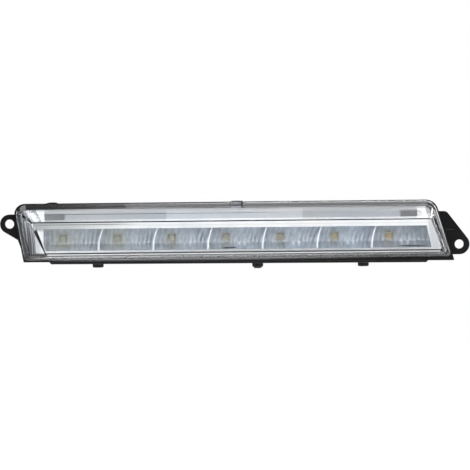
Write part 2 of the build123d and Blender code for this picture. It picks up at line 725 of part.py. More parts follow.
# Reflector: one strip with all the cells, windows for the LEDs and room for the lower screw heads
with BuildPart() as reflector:
    with BuildSketch(front(board_front)):
        add(rounded(reflector_outline, bezel_radii))
    extrude(amount=reflector_front - board_front)
    add(hollows, mode=Mode.SUBTRACT)
    with BuildSketch(front(board_front)):
        with Locations(*led_places):
            Rectangle(LED_WIDTH + 2 * LED_CLEARANCE, LED_HEIGHT + 2 * LED_CLEARANCE)
    extrude(amount=reflector_front - board_front, mode=Mode.SUBTRACT)
    with BuildSketch(front(board_front)):
        with Locations(*low_screws):
            Circle(SCREW_HEAD / 2 + SCREW_CLEARANCE)
    extrude(amount=SCREW_RECESS, mode=Mode.SUBTRACT)
reflector.part.label = "reflector"
export_step(reflector.part, "parts/reflector.step")

# LEDs: a square package with a raised emitter, one node each
for number, place in enumerate(led_places, start=1):
    with BuildPart() as led:
        with BuildSketch(front(board_front)):
            with Locations(place):
                Rectangle(LED_WIDTH, LED_HEIGHT)
        extrude(amount=LED_BASE)
        with BuildSketch(front(board_front + LED_BASE)):
            with Locations(place):
                Rectangle(LED_WIDTH - 2 * LED_EMITTER_MARGIN, LED_HEIGHT - 2 * LED_EMITTER_MARGIN)
        extrude(amount=LED_EMITTER)
    led.part.label = f"led_{number}"
    export_step(led.part, f"parts/led_{number}.step")

# LED board
with BuildPart() as led_board:
    with BuildSketch(front(board_back)):
        with Locations(board_middle):
            Rectangle(*board_size)
        with Locations(*screw_places):
            Circle(SCREW_SHANK / 2 + SCREW_CLEARANCE, mode=Mode.SUBTRACT)
        with Locations(*link_pin_places):
            Circle(LINK_PIN / 2 + SCREW_CLEARANCE, mode=Mode.SUBTRACT)
    extrude(amount=BOARD_THICKNESS)
led_board.part.label = "led_board"
export_step(led_board.part, "parts/led_board.step")

# Thermal pad between board and heat sink
with BuildPart() as thermal_pad:
    with BuildSketch(front(pad_back)):
        with Locations(board_middle):
            Rectangle(*board_size)
        with Locations(*screw_places):
            Circle(SCREW_SHANK / 2 + SCREW_CLEARANCE, mode=Mode.SUBTRACT)
        with Locations((link_x, driver_z)):
            Rectangle(LINK_WIDTH + 2 * LINK_CLEARANCE, LINK_HEIGHT + 2 * LINK_CLEARANCE, mode=Mode.SUBTRACT)
    extrude(amount=PAD_THICKNESS)
thermal_pad.part.label = "thermal_pad"
export_step(thermal_pad.part, "parts/thermal_pad.step")

# Heat sink: a plate with long fins between the two rows of posts
fin_low = screw_low + POST_DIAMETER / 2 + FIN_THICKNESS
fin_high = screw_high - POST_DIAMETER / 2 - FIN_THICKNESS
fin_heights = [fin_low + (fin_high - fin_low) * number / (FIN_COUNT - 1) for number in range(FIN_COUNT)]
with BuildPart() as heat_sink:
    with BuildSketch(front(sink_back)):
        with Locations(board_middle):
            Rectangle(*board_size)
    extrude(amount=SINK_BASE)
    with BuildSketch(front(fin_back)):
        with Locations(*[(board_middle[0], height) for height in fin_heights]):
            Rectangle(board_size[0], FIN_THICKNESS)
    extrude(amount=FIN_DEPTH)
    with BuildSketch(front(sink_back)):
        with Locations(*screw_places):
            Circle(SCREW_SHANK / 2 + SCREW_CLEARANCE)
    extrude(amount=SINK_BASE, mode=Mode.SUBTRACT)
    with BuildSketch(front(fin_back)):
        with Locations((link_x, driver_z)):
            Rectangle(LINK_WIDTH + 2 * LINK_CLEARANCE, LINK_HEIGHT + 2 * LINK_CLEARANCE)
    extrude(amount=FIN_DEPTH + SINK_BASE, mode=Mode.SUBTRACT)
    # Room in the fins for the tall parts on the driver board
    with BuildSketch(front(driver_front)):
        with Locations(inductor_place):
            Rectangle(INDUCTOR_SIZE + 2 * COMPONENT_CLEARANCE, INDUCTOR_SIZE + 2 * COMPONENT_CLEARANCE)
    extrude(amount=INDUCTOR_HEIGHT + COMPONENT_CLEARANCE, mode=Mode.SUBTRACT)
    with BuildSketch(front(driver_front)):
        with Locations(capacitor_place):
            Circle(CAPACITOR_DIAMETER / 2 + COMPONENT_CLEARANCE)
    extrude(amount=CAPACITOR_HEIGHT + COMPONENT_CLEARANCE, mode=Mode.SUBTRACT)
heat_sink.part.label = "heat_sink"
export_step(heat_sink.part, "parts/heat_sink.step")

# Screws through LED board, pad and heat sink into the housing's posts
with BuildPart() as board_screws:
    with BuildSketch(front(sink_back - SCREW_REACH + SCREW_CLEARANCE)):
        with Locations(*screw_places):
            Circle(SCREW_SHANK / 2)
    extrude(amount=board_front - sink_back + SCREW_REACH - SCREW_CLEARANCE)
    with BuildSketch(front(board_front)):
        with Locations(*screw_places):
            Circle(SCREW_HEAD / 2)
    extrude(amount=SCREW_HEAD_HEIGHT)
board_screws.part.label = "board_screws"
export_step(board_screws.part, "parts/board_screws.step")

# Driver board on its standoffs
with BuildPart() as driver_board:
    with BuildSketch(front(driver_back)):
        with Locations((driver_x, driver_z)):
            Rectangle(DRIVER_LENGTH, DRIVER_HEIGHT)
        with Locations(*driver_screw_places):
            Circle(SCREW_SHANK / 2 + SCREW_CLEARANCE, mode=Mode.SUBTRACT)
        with Locations(*link_pin_places):
            Circle(LINK_PIN / 2 + SCREW_CLEARANCE, mode=Mode.SUBTRACT)
        with Locations(*terminal_places):
            Rectangle(
                TERMINAL_WIDTH + 2 * TERMINAL_CLEARANCE,
                TERMINAL_THICKNESS + 2 * TERMINAL_CLEARANCE,
                mode=Mode.SUBTRACT,
            )
    extrude(amount=BOARD_THICKNESS)
driver_board.part.label = "driver_board"
export_step(driver_board.part, "parts/driver_board.step")

# Screws that hold the driver board
with BuildPart() as driver_screws:
    with BuildSketch(front(wall_inside + SCREW_CLEARANCE)):
        with Locations(*driver_screw_places):
            Circle(SCREW_SHANK / 2)
    extrude(amount=driver_front - wall_inside - SCREW_CLEARANCE)
    with BuildSketch(front(driver_front)):
        with Locations(*driver_screw_places):
            Circle(SCREW_HEAD / 2)
    extrude(amount=SCREW_HEAD_HEIGHT)
driver_screws.part.label = "driver_screws"
export_step(driver_screws.part, "parts/driver_screws.step")

# Parts soldered to the front of the driver board
with BuildPart() as inductor:
    with BuildSketch(front(driver_front)):
        with Locations(inductor_place):
            RectangleRounded(INDUCTOR_SIZE, INDUCTOR_SIZE, INDUCTOR_RADIUS)
    extrude(amount=INDUCTOR_HEIGHT)
inductor.part.label = "inductor"
export_step(inductor.part, "parts/inductor.step")

with BuildPart() as capacitor:
    with BuildSketch(front(driver_front)):
        with Locations(capacitor_place):
            Circle(CAPACITOR_DIAMETER / 2)
    extrude(amount=CAPACITOR_HEIGHT)
capacitor.part.label = "capacitor"
export_step(capacitor.part, "parts/capacitor.step")

with BuildPart() as driver_chip:
    with BuildSketch(front(driver_front)):
        with Locations(chip_place):
            Rectangle(CHIP_LENGTH, CHIP_WIDTH)
    extrude(amount=CHIP_HEIGHT)
driver_chip.part.label = "driver_chip"
export_step(driver_chip.part, "parts/driver_chip.step")

# Link between the boards: an insulating block and its two pins
with BuildPart() as link_block:
    with BuildSketch(front(driver_front)):
        with Locations((link_x, driver_z)):
            Rectangle(LINK_WIDTH, LINK_HEIGHT)
        with Locations(*link_pin_places):
            Rectangle(LINK_PIN, LINK_PIN, mode=Mode.SUBTRACT)
    extrude(amount=board_back - driver_front)
link_block.part.label = "link_block"
export_step(link_block.part, "parts/link_block.step")

with BuildPart() as link_pins:
    with BuildSketch(front(driver_back - TERMINAL_TAIL)):
        with Locations(*link_pin_places):
            Rectangle(LINK_PIN, LINK_PIN)
    extrude(amount=board_front - driver_back + TERMINAL_TAIL - SCREW_CLEARANCE)
link_pins.part.label = "link_pins"
export_step(link_pins.part, "parts/link_pins.step")

# Connector socket: shroud, flange on its gasket and a neck through the rear wall
neck_width = SOCKET_WIDTH - 2 * SOCKET_NECK_INSET
neck_height = SOCKET_HEIGHT - 2 * SOCKET_NECK_INSET
flange_width = SOCKET_WIDTH + 2 * SOCKET_FLANGE_BORDER
flange_height = SOCKET_HEIGHT + 2 * SOCKET_FLANGE_BORDER
with BuildPart() as connector_socket:
    with BuildSketch(front(socket_mouth)):
        with Locations((socket_x, driver_z)):
            RectangleRounded(SOCKET_WIDTH, SOCKET_HEIGHT, SOCKET_RADIUS)
            RectangleRounded(
                SOCKET_WIDTH - 2 * SOCKET_WALL,
                SOCKET_HEIGHT - 2 * SOCKET_WALL,
                SOCKET_INNER_RADIUS,
                mode=Mode.SUBTRACT,
            )
    extrude(amount=SOCKET_LENGTH)
    with BuildSketch(front(socket_floor)):
        with Locations((socket_x, driver_z)):
            RectangleRounded(flange_width, flange_height, SOCKET_RADIUS)
    extrude(amount=SOCKET_FLANGE)
    with BuildSketch(front(seal_back)):
        with Locations((socket_x, driver_z)):
            Rectangle(neck_width, neck_height)
    extrude(amount=SEAL_THICKNESS + WALL + SOCKET_FIT)
    with BuildSketch(front(socket_floor)):
        with Locations(*terminal_places):
            Rectangle(TERMINAL_WIDTH, TERMINAL_THICKNESS)
    extrude(amount=SOCKET_FLANGE + SEAL_THICKNESS + WALL + SOCKET_FIT, mode=Mode.SUBTRACT)
connector_socket.part.label = "connector_socket"
export_step(connector_socket.part, "parts/connector_socket.step")

# Gasket under the socket's flange
with BuildPart() as connector_seal:
    with BuildSketch(front(seal_back)):
        with Locations((socket_x, driver_z)):
            RectangleRounded(flange_width, flange_height, SOCKET_RADIUS)
            Rectangle(neck_width + 2 * SOCKET_FIT, neck_height + 2 * SOCKET_FIT, mode=Mode.SUBTRACT)
    extrude(amount=SEAL_THICKNESS)
connector_seal.part.label = "connector_seal"
export_step(connector_seal.part, "parts/connector_seal.step")

# Terminals from the socket to the driver board
with BuildPart() as terminals:
    with BuildSketch(front(socket_mouth + TERMINAL_SETBACK)):
        with Locations(*terminal_places):
            Rectangle(TERMINAL_WIDTH, TERMINAL_THICKNESS)
    extrude(amount=driver_front + TERMINAL_TAIL - socket_mouth - TERMINAL_SETBACK)
terminals.part.label = "terminals"
export_step(terminals.part, "parts/terminals.step")

# Rubber breather cap on its spigot
with BuildPart() as breather_cap:
    with BuildSketch(front(-BODY_DEPTH - BREATHER_LENGTH - BREATHER_WALL)):
        with Locations(breather_place):
            Circle(BREATHER_DIAMETER / 2 + BREATHER_WALL)
    extrude(amount=BREATHER_LENGTH + BREATHER_WALL - BREATHER_GAP)
    with BuildSketch(front(-BODY_DEPTH - BREATHER_LENGTH)):
        with Locations(breather_place):
            Circle(BREATHER_DIAMETER / 2)
    extrude(amount=BREATHER_LENGTH, mode=Mode.SUBTRACT)
breather_cap.part.label = "breather_cap"
export_step(breather_cap.part, "parts/breather_cap.step")
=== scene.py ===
"""Dresses a slim daytime running light: lens, bezel, fluted reflector, LEDs, housing and inner parts.

Lengths of the lamp are in millimetres and become metres when a mesh or a material is made.
A depth is a distance in front of the ears' rear face, so a point at that depth lies at y = -depth.
"""
import logging
import math
from dataclasses import dataclass
from enum import Enum
from functools import cache

import bmesh
import bpy
import numpy as np
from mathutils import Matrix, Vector


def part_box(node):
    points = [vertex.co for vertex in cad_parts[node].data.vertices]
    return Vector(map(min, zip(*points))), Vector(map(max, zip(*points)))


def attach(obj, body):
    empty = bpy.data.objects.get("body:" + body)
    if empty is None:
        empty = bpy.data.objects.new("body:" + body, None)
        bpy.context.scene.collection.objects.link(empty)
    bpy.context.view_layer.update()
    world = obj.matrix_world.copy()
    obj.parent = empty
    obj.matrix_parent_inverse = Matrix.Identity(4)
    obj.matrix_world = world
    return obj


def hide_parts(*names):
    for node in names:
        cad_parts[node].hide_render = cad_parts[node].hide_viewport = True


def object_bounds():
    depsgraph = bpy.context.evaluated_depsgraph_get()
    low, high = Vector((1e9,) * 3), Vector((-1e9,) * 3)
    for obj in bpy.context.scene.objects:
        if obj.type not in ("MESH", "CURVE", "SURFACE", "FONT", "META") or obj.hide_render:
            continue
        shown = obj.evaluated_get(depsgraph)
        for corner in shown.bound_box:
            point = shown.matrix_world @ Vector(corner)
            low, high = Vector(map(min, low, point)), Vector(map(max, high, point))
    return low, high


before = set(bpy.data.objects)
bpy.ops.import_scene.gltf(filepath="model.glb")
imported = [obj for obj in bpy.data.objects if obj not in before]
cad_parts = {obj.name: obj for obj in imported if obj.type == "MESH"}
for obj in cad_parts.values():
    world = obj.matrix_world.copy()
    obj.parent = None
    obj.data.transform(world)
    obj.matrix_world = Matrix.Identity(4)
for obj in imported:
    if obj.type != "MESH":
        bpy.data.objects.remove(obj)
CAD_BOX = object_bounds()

MM = 0.001
BODY = "root"
LOG = logging.getLogger("lamp")

Colour = tuple[float, float, float]
Point = tuple[float, float, float]
Pair = tuple[float, float]
Piece = bpy.types.Object
Socket = bpy.types.NodeSocket
Tree = bpy.types.NodeTree


class Slot(str, Enum):
    """Material slots of the record."""

    LENS = "lens"
    SEALANT = "sealant"
    BEZEL = "bezel"
    REFLECTOR = "reflector"
    LED = "led"


class Crease(Enum):
    """Angles, in degrees, past which an edge of a piece is shaded as sharp."""

    SOFT = 60.0
    FLUTED = 28.0


class Axis(Enum):
    """Coordinates along which a patch of colour has its limits."""

    ACROSS = "to the right"
    BACK = "backwards"
    UP = "upwards"
    LEANING = "square to the leaning left edge"
    OFF_MIDDLE = "outwards from the middle"
    PAST_LED = "to the right of the nearest LED"
    BESIDE_LED = "to either side of the nearest LED"
    OFF_ROW = "above or below the row of LEDs"
    STREAK = "tone of a flute"


class Aim(Enum):
    """Where a soft box points."""

    LAMP = "at the lamp"
    DOWN = "straight down"


# Meshes from grids of points


class Mesher:
    """Collects grids of points and turns them into one mesh object at the origin."""

    MERGE = 2e-7

    def __init__(self) -> None:
        """Starts with no points and no faces."""
        self._points: list[np.ndarray] = []
        self._across: list[np.ndarray] = []
        self._faces: list[list[int]] = []
        self._count = 0

    def grid(self, points: np.ndarray, wrap: bool = False, keep: np.ndarray | None = None,
             across: np.ndarray | None = None) -> np.ndarray:
        """Adds a sheet of four-sided faces between neighbouring rows and columns of points.

        Args:
            points: Array of rows by columns by three.
            wrap: Whether the last column joins the first.
            keep: Which of the faces, rows less one by columns less one, are made.
            across: Pattern coordinate of each point, or None for zero.

        Returns:
            Numbers of the points, rows by columns.
        """
        rows, columns = points.shape[:2]
        index = np.arange(rows * columns).reshape(rows, columns) + self._count
        self._count += index.size
        self._points.append(points.reshape(-1, 3))
        self._across.append(np.zeros(index.size) if across is None else across.reshape(-1))
        around = np.concatenate([index, index[:, :1]], axis=1) if wrap else index
        corners = [around[:-1, :-1], around[1:, :-1], around[1:, 1:], around[:-1, 1:]]
        faces = np.stack(corners, axis=-1)
        self._faces.extend((faces.reshape(-1, 4) if keep is None else faces[keep]).tolist())
        return index

    def tube(self, loops: np.ndarray, first: bool = True, last: bool = True) -> None:
        """Adds a skin round its loops, closed by a flat face at its ends.

        Args:
            loops: Array of loops by points by three.
            first: Whether the first loop is closed.
            last: Whether the last loop is closed.
        """
        index = self.grid(loops, wrap=True)
        if first:
            self._faces.append(index[0].tolist())
        if last:
            self._faces.append(index[-1].tolist())

    def finish(self, name: str, crease: Crease) -> Piece:
        """Makes the object: welds equal points, drops empty faces and turns all faces outwards.

        Args:
            name: Name of the piece.
            crease: Angle past which edges are sharp.

        Returns:
            The new object, linked to the scene.
        """
        mesh = bpy.data.meshes.new(name)
        mesh.from_pydata((np.concatenate(self._points) * MM).tolist(), [], self._faces)
        across = mesh.attributes.new("across", "FLOAT", "POINT")
        across.data.foreach_set("value", np.concatenate(self._across).astype(np.float32))
        work = bmesh.new()
        work.from_mesh(mesh)
        bmesh.ops.remove_doubles(work, verts=work.verts, dist=self.MERGE)
        bmesh.ops.dissolve_degenerate(work, edges=work.edges, dist=self.MERGE)
        bmesh.ops.recalc_face_normals(work, faces=work.faces)
        work.to_mesh(mesh)
        work.free()
        mesh.polygons.foreach_set("use_smooth", np.ones(len(mesh.polygons), dtype=bool))
        mesh.set_sharp_from_angle(angle=math.radians(crease.value))
        piece = bpy.data.objects.new(name, mesh)
        bpy.context.scene.collection.objects.link(piece)
        return piece


# Outlines and the skins between them


@dataclass(frozen=True)
class Outline:
    """Four-cornered outline seen from the front, with a radius at each corner.

    Corners and radii run top left, top right, bottom right, bottom left.
    """

    corners: np.ndarray
    radii: np.ndarray

    SMALLEST = 0.3

    @classmethod
    def of(cls, corners: list[Pair], radii: float | list[float]) -> "Outline":
        """Outline from plain lists of corners and radii."""
        return cls(np.array(corners, float), np.broadcast_to(np.array(radii, float), 4).copy())

    @classmethod
    def box(cls, left: float, right: float, bottom: float, top: float, radius: float) -> "Outline":
        """Upright rectangle with equal corners."""
        return cls.of([(left, top), (right, top), (right, bottom), (left, bottom)], radius)

    def inward(self) -> np.ndarray:
        """Unit normal of each side, towards the inside: the side's direction turned by a quarter.

        Returns:
            Normals of the top, right, bottom and left side.
        """
        along = np.roll(self.corners, -1, axis=0) - self.corners
        along = along / np.linalg.norm(along, axis=1, keepdims=True)
        return np.stack([along[:, 1], -along[:, 0]], axis=1)

    def inset(self, distances: float | list[float] | np.ndarray) -> "Outline":
        """Moves each side inwards by its own distance.

        A corner's shift is the vector whose part along each of its two sides' inward normals is
        that side's distance, found by solving two equations at all corners at once.

        Args:
            distances: One distance, or one for the top, right, bottom and left sides.

        Returns:
            The smaller outline, with its radii reduced alike.
        """
        moves = np.broadcast_to(np.asarray(distances, float), 4)
        inward = self.inward()
        normals = np.stack([np.roll(inward, 1, axis=0), inward], axis=1)
        shifts = np.linalg.solve(normals, np.stack([np.roll(moves, 1), moves], axis=1)[..., None])[..., 0]
        return Outline(self.corners + shifts, np.maximum(self.radii - moves.mean(), self.SMALLEST))

    def towards(self, other: "Outline", share: float) -> "Outline":
        """Outline that lies a share of the way to another one."""
        corners = self.corners + share * (other.corners - self.corners)
        return Outline(corners, self.radii + share * (other.radii - self.radii))

    def loop(self, depth: float, arc: int = 8, long_side: int = 40, short_side: int = 8) -> np.ndarray:
        """Points round the outline at a depth.

        Each corner is an arc about a centre on its bisector: the arc's radius turns evenly from
        the normal of the side before to the normal of the side after. Sides are straight between arcs.

        Args:
            depth: Distance in front of the ears' rear face.
            arc: Points in each corner.
            long_side: Points between the ends of the top and of the bottom side.
            short_side: Points between the ends of the left and of the right side.

        Returns:
            Array of points by three, clockwise seen from the front.
        """
        inward = self.inward()
        before = np.roll(inward, 1, axis=0)
        turn = np.arccos(np.clip((before * inward).sum(axis=1), -1, 1))[:, None, None]
        bisector = (before + inward) / (1 + np.cos(turn[:, :, 0]))
        centres = self.corners + bisector * self.radii[:, None]
        share = np.linspace(0, 1, arc)[None, :, None]
        spokes = np.sin((1 - share) * turn) * before[:, None] + np.sin(share * turn) * inward[:, None]
        arcs = centres[:, None] - self.radii[:, None, None] * spokes / np.sin(turn)
        parts = []
        for side, count in enumerate((long_side, short_side, long_side, short_side)):
            start, end = arcs[side, -1], arcs[(side + 1) % 4, 0]
            steps = np.linspace(0, 1, count + 2)[1:-1, None]
            parts.extend([arcs[side], start + steps * (end - start)])
        flat = np.concatenate(parts)
        return np.stack([flat[:, 0], np.full(len(flat), -depth), flat[:, 1]], axis=1)


@dataclass(frozen=True)
class Station:
    """One edge of a skin: an outline at a depth, rounded over a length of the walls that meet there."""

    outline: Outline
    depth: float
    rounding: float = 0.0

    def span(self, other: "Station") -> float:
        """Mean distance to another station's corners."""
        flat = np.linalg.norm(other.outline.corners - self.outline.corners, axis=1)
        return float(np.hypot(flat, other.depth - self.depth).mean())

    def towards(self, other: "Station", share: float) -> "Station":
        """Station a share of the way to another one."""
        depth = self.depth + share * (other.depth - self.depth)
        return Station(self.outline.towards(other.outline, share), depth)


@dataclass(frozen=True)
class Skin:
    """Surface carried through a list of stations, straight between them and rounded at their edges."""

    stations: list[Station]
    steps: int = 7

    MOST_ROUNDED = 0.45

    def _rounded(self, before: Station, edge: Station, after: Station) -> list[Station]:
        """Stations along a parabola that touches the two walls beside an edge.

        With a and b the ends of the rounding and e the edge, a station at share s is
        (a to e at s) to (e to b at s), again at s.

        Args:
            before: Station on the wall before the edge.
            edge: The edge.
            after: Station on the wall after the edge.

        Returns:
            The stations that take the edge's place.
        """
        start, end = (edge.towards(wall, min(edge.rounding / edge.span(wall), self.MOST_ROUNDED))
                      for wall in (before, after))
        return [start.towards(edge, share).towards(edge.towards(end, share), share)
                for share in np.linspace(0, 1, self.steps)]

    def loops(self, closed: bool = False) -> np.ndarray:
        """Points of all the skin's loops.

        Args:
            closed: Whether the last station leads back to the first.

        Returns:
            Array of loops by points by three.
        """
        made: list[Station] = []
        last = len(self.stations) - 1
        for number, station in enumerate(self.stations):
            at_end = number in (0, last) and not closed
            if station.rounding <= 0 or at_end:
                made.append(station)
                continue
            after = self.stations[(number + 1) % len(self.stations)]
            made.extend(self._rounded(self.stations[number - 1], station, after))
        if closed:
            made.append(made[0])
        return np.stack([station.outline.loop(station.depth) for station in made])


# Node trees and the groups that several finishes share


class Nodes:
    """Short ways to build a node tree."""

    # A mix node's sockets for its share and its two colours, and for the mixed colour
    MIX_INPUTS = (0, 6, 7)
    MIX_OUTPUT = 2

    def __init__(self, tree: Tree) -> None:
        """Takes the tree that nodes are added to."""
        self.tree = tree

    def put(self, socket: Socket, value: object) -> None:
        """Links a socket to another one, or sets its value, where a colour becomes opaque.

        Args:
            socket: Socket of an input.
            value: Number, vector or colour, or the socket to link from.
        """
        if isinstance(value, Socket):
            self.tree.links.new(value, socket)
        else:
            socket.default_value = (*value, 1.0) if socket.type == "RGBA" else value

    def add(self, kind: str, **inputs: object) -> bpy.types.Node:
        """Adds a node and sets its inputs by name, with spaces written as underscores.

        Args:
            kind: Blender's name for the node's type.
            inputs: Values, or sockets to link from.

        Returns:
            The new node.
        """
        node = self.tree.nodes.new(kind)
        for name, value in inputs.items():
            self.put(node.inputs[name.replace("_", " ")], value)
        return node

    def group(self, tree: Tree, **inputs: object) -> Socket:
        """Places a shared group.

        Args:
            tree: The group.
            inputs: Values for its inputs, or sockets to link from.

        Returns:
            Socket of the group's only output.
        """
        node = self.tree.nodes.new("ShaderNodeGroup")
        node.node_tree = tree
        for name, value in inputs.items():
            self.put(node.inputs[name], value)
        return node.outputs[0]

    def mix(self, share: object, first: object, second: object) -> Socket:
        """Mixes two colours.

        Args:
            share: Share of the second colour.
            first: Colour where the share is 0.
            second: Colour where the share is 1.

        Returns:
            Socket of the mixed colour.
        """
        node = self.tree.nodes.new("ShaderNodeMix")
        node.data_type = "RGBA"
        for number, value in zip(self.MIX_INPUTS, (share, first, second)):
            self.put(node.inputs[number], value)
        return node.outputs[self.MIX_OUTPUT]

    def blend(self, share: Socket, first: Socket, second: Socket) -> Socket:
        """Mixes two shaders.

        Args:
            share: Share of the second shader.
            first: Shader where the share is 0.
            second: Shader where the share is 1.

        Returns:
            Socket of the mixed shader.
        """
        node = self.tree.nodes.new("ShaderNodeMixShader")
        for socket, value in zip(node.inputs, (share, first, second)):
            self.put(socket, value)
        return node.outputs["Shader"]

    def math(self, operation: str, *values: object) -> Socket:
        """Does one sum.

        Args:
            operation: Blender's name for the sum.
            values: Numbers or sockets.

        Returns:
            Socket of the result.
        """
        node = self.tree.nodes.new("ShaderNodeMath")
        node.operation = operation
        for socket, value in zip(node.inputs, values):
            self.put(socket, value)
        return node.outputs["Value"]

    def times(self, first: Socket, *others: Socket) -> Socket:
        """Multiplies shares.

        Args:
            first: Socket of a share.
            others: Sockets of the other shares, if there are any.

        Returns:
            Socket of the product.
        """
        for other in others:
            first = self.math("MULTIPLY", first, other)
        return first

    def ramp(self, value: Socket, start: float, end: float, least: object, most: object) -> Socket:
        """Value that goes from the least to the most while another goes from start to end.

        Args:
            value: Socket of the other value.
            start: Where the ramp starts.
            end: Where it ends.
            least: Number or socket for the start.
            most: Number or socket for the end.

        Returns:
            Socket of the result.
        """
        node = self.add("ShaderNodeMapRange", Value=value, From_Min=start, From_Max=end,
                        To_Min=least, To_Max=most)
        return node.outputs["Result"]


class Surface(Nodes):
    """Node tree of a piece's material, with the coordinates of each point in the lamp's frame."""

    def __init__(self, tree: Tree) -> None:
        """Adds the place of a point and its parts.

        Args:
            tree: The material's tree.
        """
        super().__init__(tree)
        self.place = self.add("ShaderNodeTexCoord").outputs["Object"]
        x, y, z = self.add("ShaderNodeSeparateXYZ", Vector=self.place).outputs
        self.axes = {Axis.ACROSS: x, Axis.BACK: y, Axis.UP: z}


def open_group(name: str, numbers: list[str], output: str) -> Nodes:
    """Starts a group that takes a place and named numbers.

    Args:
        name: Name of the group.
        numbers: Names of the numbers that it takes.
        output: Name of the value that it puts out.

    Returns:
        The group's tree, ready for nodes.
    """
    tree = bpy.data.node_groups.new(name, "ShaderNodeTree")
    tree.interface.new_socket("Vector", in_out="INPUT", socket_type="NodeSocketVector")
    for number in numbers:
        tree.interface.new_socket(number, in_out="INPUT", socket_type="NodeSocketFloat")
    tree.interface.new_socket(output, in_out="OUTPUT", socket_type="NodeSocketFloat")
    return Nodes(tree)


NOISE_MIDDLE = (0.3, 0.7)
MOTTLE_DETAIL = 4.0
GRAIN_DETAIL = 3.0
CELL_HEIGHT = 0.6


@cache
def mottle() -> Tree:
    """Group of slow noise at a scale, mapped from its middle range to between Low and High.

    Returns:
        The group, made once.
    """
    nodes = open_group("mottle", ["Scale", "Low", "High"], "Value")
    way_in = nodes.add("NodeGroupInput").outputs
    noise = nodes.add("ShaderNodeTexNoise", Vector=way_in["Vector"], Scale=way_in["Scale"],
                      Detail=MOTTLE_DETAIL)
    value = nodes.ramp(noise.outputs["Fac"], *NOISE_MIDDLE, way_in["Low"], way_in["High"])
    nodes.add("NodeGroupOutput", Value=value)
    return nodes.tree


@cache
def grain() -> Tree:
    """Group of a moulded grain's height: rounded cells with finer noise over them.

    Returns:
        The group, made once.
    """
    nodes = open_group("grain", ["Scale"], "Height")
    way_in = nodes.add("NodeGroupInput").outputs
    cells = nodes.add("ShaderNodeTexVoronoi", Vector=way_in["Vector"], Scale=way_in["Scale"])
    cells.feature = "SMOOTH_F1"
    noise = nodes.add("ShaderNodeTexNoise", Vector=way_in["Vector"], Scale=way_in["Scale"],
                      Detail=GRAIN_DETAIL)
    height = nodes.math("MULTIPLY_ADD", cells.outputs["Distance"], CELL_HEIGHT, noise.outputs["Fac"])
    nodes.add("NodeGroupOutput", Height=height)
    return nodes.tree


# Patches of colour


class Limit:
    """Where on the lamp a patch of colour shows, with its places in millimetres."""

    def share(self, nodes: Surface) -> Socket:
        """Socket of the patch's share at each point."""
        raise NotImplementedError


@dataclass(frozen=True)
class Rise(Limit):
    """Share that goes from the least to the most between two places along an axis."""

    axis: Axis
    start: float
    end: float
    least: float = 0.0
    most: float = 1.0

    def share(self, nodes: Surface) -> Socket:
        """Socket of the ramp."""
        return nodes.ramp(nodes.axes[self.axis], self.start * MM, self.end * MM, self.least, self.most)


@dataclass(frozen=True)
class Band(Limit):
    """Share that is 1 between two places along an axis, or 1 outside them, with soft edges."""

    axis: Axis
    low: float
    high: float
    soft: float
    outside: bool = False

    def share(self, nodes: Surface) -> Socket:
        """Multiplies a rise at each edge.

        Args:
            nodes: The material's tree.

        Returns:
            Socket of the product, or of one less the product for a band that shows outside.
        """
        rising = Rise(self.axis, self.low, self.low + self.soft)
        falling = Rise(self.axis, self.high, self.high - self.soft)
        inside = nodes.times(rising.share(nodes), falling.share(nodes))
        return nodes.math("SUBTRACT", 1.0, inside) if self.outside else inside


@dataclass(frozen=True)
class Either(Limit):
    """The larger of two shares."""

    first: Limit
    second: Limit

    def share(self, nodes: Surface) -> Socket:
        """Socket of the larger share."""
        return nodes.math("MAXIMUM", self.first.share(nodes), self.second.share(nodes))


@dataclass(frozen=True)
class Patch:
    """A colour that shows where all its limits do, with patches of its own laid over it first."""

    name: str
    colour: Colour
    limits: tuple[Limit, ...]
    patches: tuple["Patch", ...] = ()


def lay(nodes: Surface, ground: object, patches: tuple[Patch, ...]) -> object:
    """Lays patches over a ground, one after another.

    Args:
        nodes: The material's tree.
        ground: Colour, or the socket of one.
        patches: The patches, with the lowest first.

    Returns:
        Socket of the laid colour, or the ground itself where there is no patch.
    """
    for patch in patches:
        share = nodes.times(*(limit.share(nodes) for limit in patch.limits))
        ground = nodes.mix(share, ground, lay(nodes, patch.colour, patch.patches))
        ground.node.label = patch.name
    return ground


# Finishes


